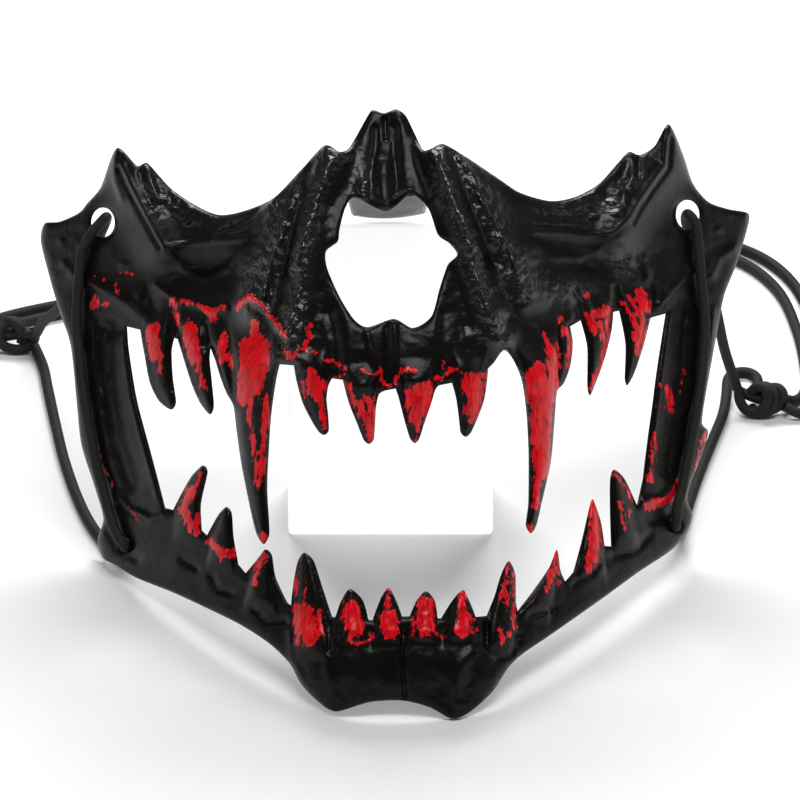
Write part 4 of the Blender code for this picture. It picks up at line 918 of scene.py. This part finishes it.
BACK_CORDS = {
    "back_cord_a": [
        (112.4, 92.3, 3.6), (117, 91.5, 1.8), (122, 97, 1.6), (123.5, 115, 1.6),
        (121.5, 140, 1.6), (116, 165, 1.6), (105, 182, 1.6), (88, 191, 1.6),
        (60, 194.5, 1.6), (20, 190, 1.6), (-20, 181, 1.6), (-58, 168, 1.6),
        (-90, 156, 1.6), (-110, 148, 1.6), (-120, 141.5, 1.6), (-123.4, 135, 1.8),
        (-118.8, 129.4, 3.6)],
    "back_cord_b": [
        (112.4, 96.6, 3.4), (115.6, 98.8, 1.8), (118.2, 104, 1.6), (118.6, 116, 1.6),
        (116.6, 138, 1.6), (111.4, 161, 1.6), (101, 177.4, 1.6), (86, 185.6, 1.6),
        (60, 189.6, 1.6), (20, 185.2, 1.6), (-20, 176.2, 1.6), (-58, 163.2, 1.6),
        (-88, 151.8, 1.6), (-104, 145, 1.6), (-111.5, 141.4, 1.6), (-116.4, 138, 1.8),
        (-118.2, 134.4, 3.2)],
}


def resample(points, step):
    """Points at an even step along a smooth curve through the route's own points."""
    points = [Vector(p) for p in points]
    pts = [points[0] * 2.0 - points[1]] + points + [points[-1] * 2.0 - points[-2]]
    fine = []
    for i in range(1, len(pts) - 2):
        p0, p1, p2, p3 = pts[i - 1:i + 3]
        for j in range(CURVE_CUTS):
            t = j / CURVE_CUTS
            fine.append(0.5 * (2.0 * p1 + (p2 - p0) * t + (2.0 * p0 - 5.0 * p1 + 4.0 * p2 - p3) * t ** 2
                               + (3.0 * p1 - p0 - 3.0 * p2 + p3) * t ** 3))
    fine.append(points[-1])
    along = [0.0]
    for a, b in zip(fine, fine[1:]):
        along.append(along[-1] + (b - a).length)
    count = max(2, round(along[-1] / step))
    coords = np.array([tuple(p) for p in fine])
    marks = np.linspace(0.0, along[-1], count + 1)
    return np.column_stack([np.interp(marks, along, coords[:, k]) for k in range(3)]), along[-1]


def tube_mesh(bm, path, radius):
    """A ribbed round cord along the path, added to the mesh as one closed skin."""
    normal = None
    rings = []
    count = len(path)
    for i, place in enumerate(path):
        ahead = Vector(path[min(i + 1, count - 1)]) - Vector(path[max(i - 1, 0)])
        ahead.normalize()
        if normal is None:
            normal = ahead.orthogonal().normalized()
        normal = (normal - ahead * normal.dot(ahead)).normalized()
        side = ahead.cross(normal)
        rib = RIB_DEPTH * MM * (1.0 if i % 2 else -1.0)
        ring = []
        for k in range(CORD_SIDES):
            angle = 2.0 * math.pi * k / CORD_SIDES
            spoke = normal * math.cos(angle) + side * math.sin(angle)
            ring.append(bm.verts.new(Vector(place) + spoke * (radius + rib)))
        rings.append(ring)
    bridge(bm, rings)
    bm.faces.new(list(reversed(rings[0])))
    bm.faces.new(rings[-1])


def cord_object(name, paths, material):
    bm = bmesh.new()
    for path in paths:
        tube_mesh(bm, path, CORD_RADIUS * MM)
    bmesh.ops.recalc_face_normals(bm, faces=bm.faces)
    return new_piece(name, bm, material)


def cord_material():
    material, shader, tree, coords = new_material("black_elastic_cover")
    yarn = noise_node(tree, coords, 1600.0, 3.0, 0.7)
    tree.links.new(mix_colour(tree, yarn, *ELASTIC_TONES), shader.inputs["Base Color"])
    shader.inputs["Roughness"].default_value = 0.72
    shader.inputs["Specular IOR Level"].default_value = 0.35
    tree.links.new(bump(tree, yarn, 0.4, 0.0002), shader.inputs["Normal"])
    return material


def strand_over(points):
    x, z = np.array(points).T
    off = (0.5 * WALL + CORD_GAP + CORD_RADIUS) * slope_at(x, z)
    return [world(*p) for p in zip(x, depth_at(x, z) - off, z)]


# Turns of each knot as it is seen square on: across, up, and how far each point stands forward.
KNOTS = {
    "knot_right": ((105.6, 95, 4.6), [
        [(-6.6, 3.6, 0), (-6.2, -0.6, 0.4), (-4.2, -3.9, 0.8), (-0.6, -5.2, 1), (2.6, -3.9, 1.4),
         (4, -0.6, 1.8), (3.2, 2.6, 1.4), (1, 4.2, 0.2), (-0.8, 3, -1.2)],
        [(-3.4, 1.8, -1), (-1.2, 4, 1.4), (1.2, 3.2, 2.8), (1.8, 0, 3), (0.4, -3.2, 2.4),
         (-1.6, -4.4, 0.6), (-2.8, -3, -1.2)],
        [(1, 3.4, -1), (4.6, 3.6, 0.4), (6.2, 1.4, 1.2), (5.6, -1.6, 0.8), (3.6, -3.4, -0.6)],
        [(-6.4, 2.6, -1.4), (-2, 0.4, -0.6), (2.4, -0.8, 0), (6.8, -2.6, -0.6)],
    ]),
    "knot_left": ((-111, 131, 4.6), [
        [(6.6, 2.2, 0), (6.4, -1.6, 0.8), (4, -4.4, 1), (0.6, -5, 1), (-2.6, -3.4, 1.4),
         (-3.8, 0, 1.8), (-2.4, 3.4, 1.2), (0.6, 4.6, 0.4), (3, 3.2, -1)],
        [(3.4, -2.4, -1), (2.6, 1.6, 2.2), (0.4, 4.4, 2.2), (-2.4, 4.2, 0.6), (-4.4, 1.6, -0.6)],
        [(6.2, 0.8, -1.4), (2, 0.2, -0.4), (-2.4, -0.6, 0), (-6.4, -1.4, -0.6)],
        [(6.2, -0.1, 3.2), (4.6, 0.2, 2.4), (2.4, 0.6, 1.2), (0.6, 0.6, 0)],
        [(6, -3.1, 0.5), (4, -2.2, 0), (1.8, -1, -0.2)],
    ]),
}


def knot_turn(centre, points):
    """World path of one turn, kept clear of the floor."""
    right, up = Vector((1.0, 0.0, 0.0)), Vector((0.0, math.sin(LEAN), math.cos(LEAN)))
    forward = Vector((0.0, -math.cos(LEAN), math.sin(LEAN)))
    places = []
    for across, rise, stand in points:
        place = Vector(centre) + right * across + up * rise * KNOT_SQUASH + forward * stand
        place.z = max(place.z, CORD_RADIUS + 0.1)
        places.append(place * MM)
    path, _ = resample(places, RIB_PITCH * MM * 0.5)
    return path


def build_strap():
    material = cord_material()
    for name, (centre, turns) in KNOTS.items():
        paths = [knot_turn(centre, points) for points in turns]
        cord_object(f"{name}_turns", paths, material)
        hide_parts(name)
    routes = {}
    for name, (down, front, back) in SIDE_CORDS.items():
        route = [tuple(v * MM for v in p) for p in down] + strand_over(front)
        routes[name] = route + [tuple(v * MM for v in p) for p in back]
    for name, route in BACK_CORDS.items():
        routes[name] = [tuple(v * MM for v in p) for p in route]
    for name, route in routes.items():
        path, length = resample(route, RIB_PITCH * MM * 0.5)
        cord = cord_object(name.replace("cord", "elastic"), [path], material)
        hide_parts(name)


# ---------------- display block

def dress_block():
    material, shader, tree, coords = new_material("white_acrylic_painted_glow")
    cloud = noise_node(tree, coords, 25.0, 2.0)
    milk = mix_colour(tree, cloud, *ACRYLIC_TONES)
    tree.links.new(milk, shader.inputs["Base Color"])
    tree.links.new(milk, shader.inputs["Emission Color"])
    # Painted glow: the block emits light though it is no lamp, strongest on the face turned towards the
    # front.
    facing = add_node(tree, "ShaderNodeSeparateXYZ")
    tree.links.new(add_node(tree, "ShaderNodeNewGeometry").outputs["True Normal"], facing.inputs[0])
    ahead = ramp_between(tree, math_node(tree, "MULTIPLY", facing.outputs["Y"], -1.0), -0.4, 0.9)
    painted_glow = math_node(tree, "MULTIPLY_ADD", ahead, BLOCK_PAINTED_GLOW - BLOCK_SIDE_PAINTED_GLOW, BLOCK_SIDE_PAINTED_GLOW)
    tree.links.new(painted_glow, shader.inputs["Emission Strength"])
    haze = math_node(tree, "MULTIPLY_ADD", noise_node(tree, coords, 240.0, 4.0), 0.08, 0.10)
    tree.links.new(haze, shader.inputs["Roughness"])
    block = frame["nodes"]["display_block"]
    block.data.materials.clear()
    block.data.materials.append(material)


make_camera()
make_stage()
build_strap()
build_mask()
build_nose_rest()
dress_block()
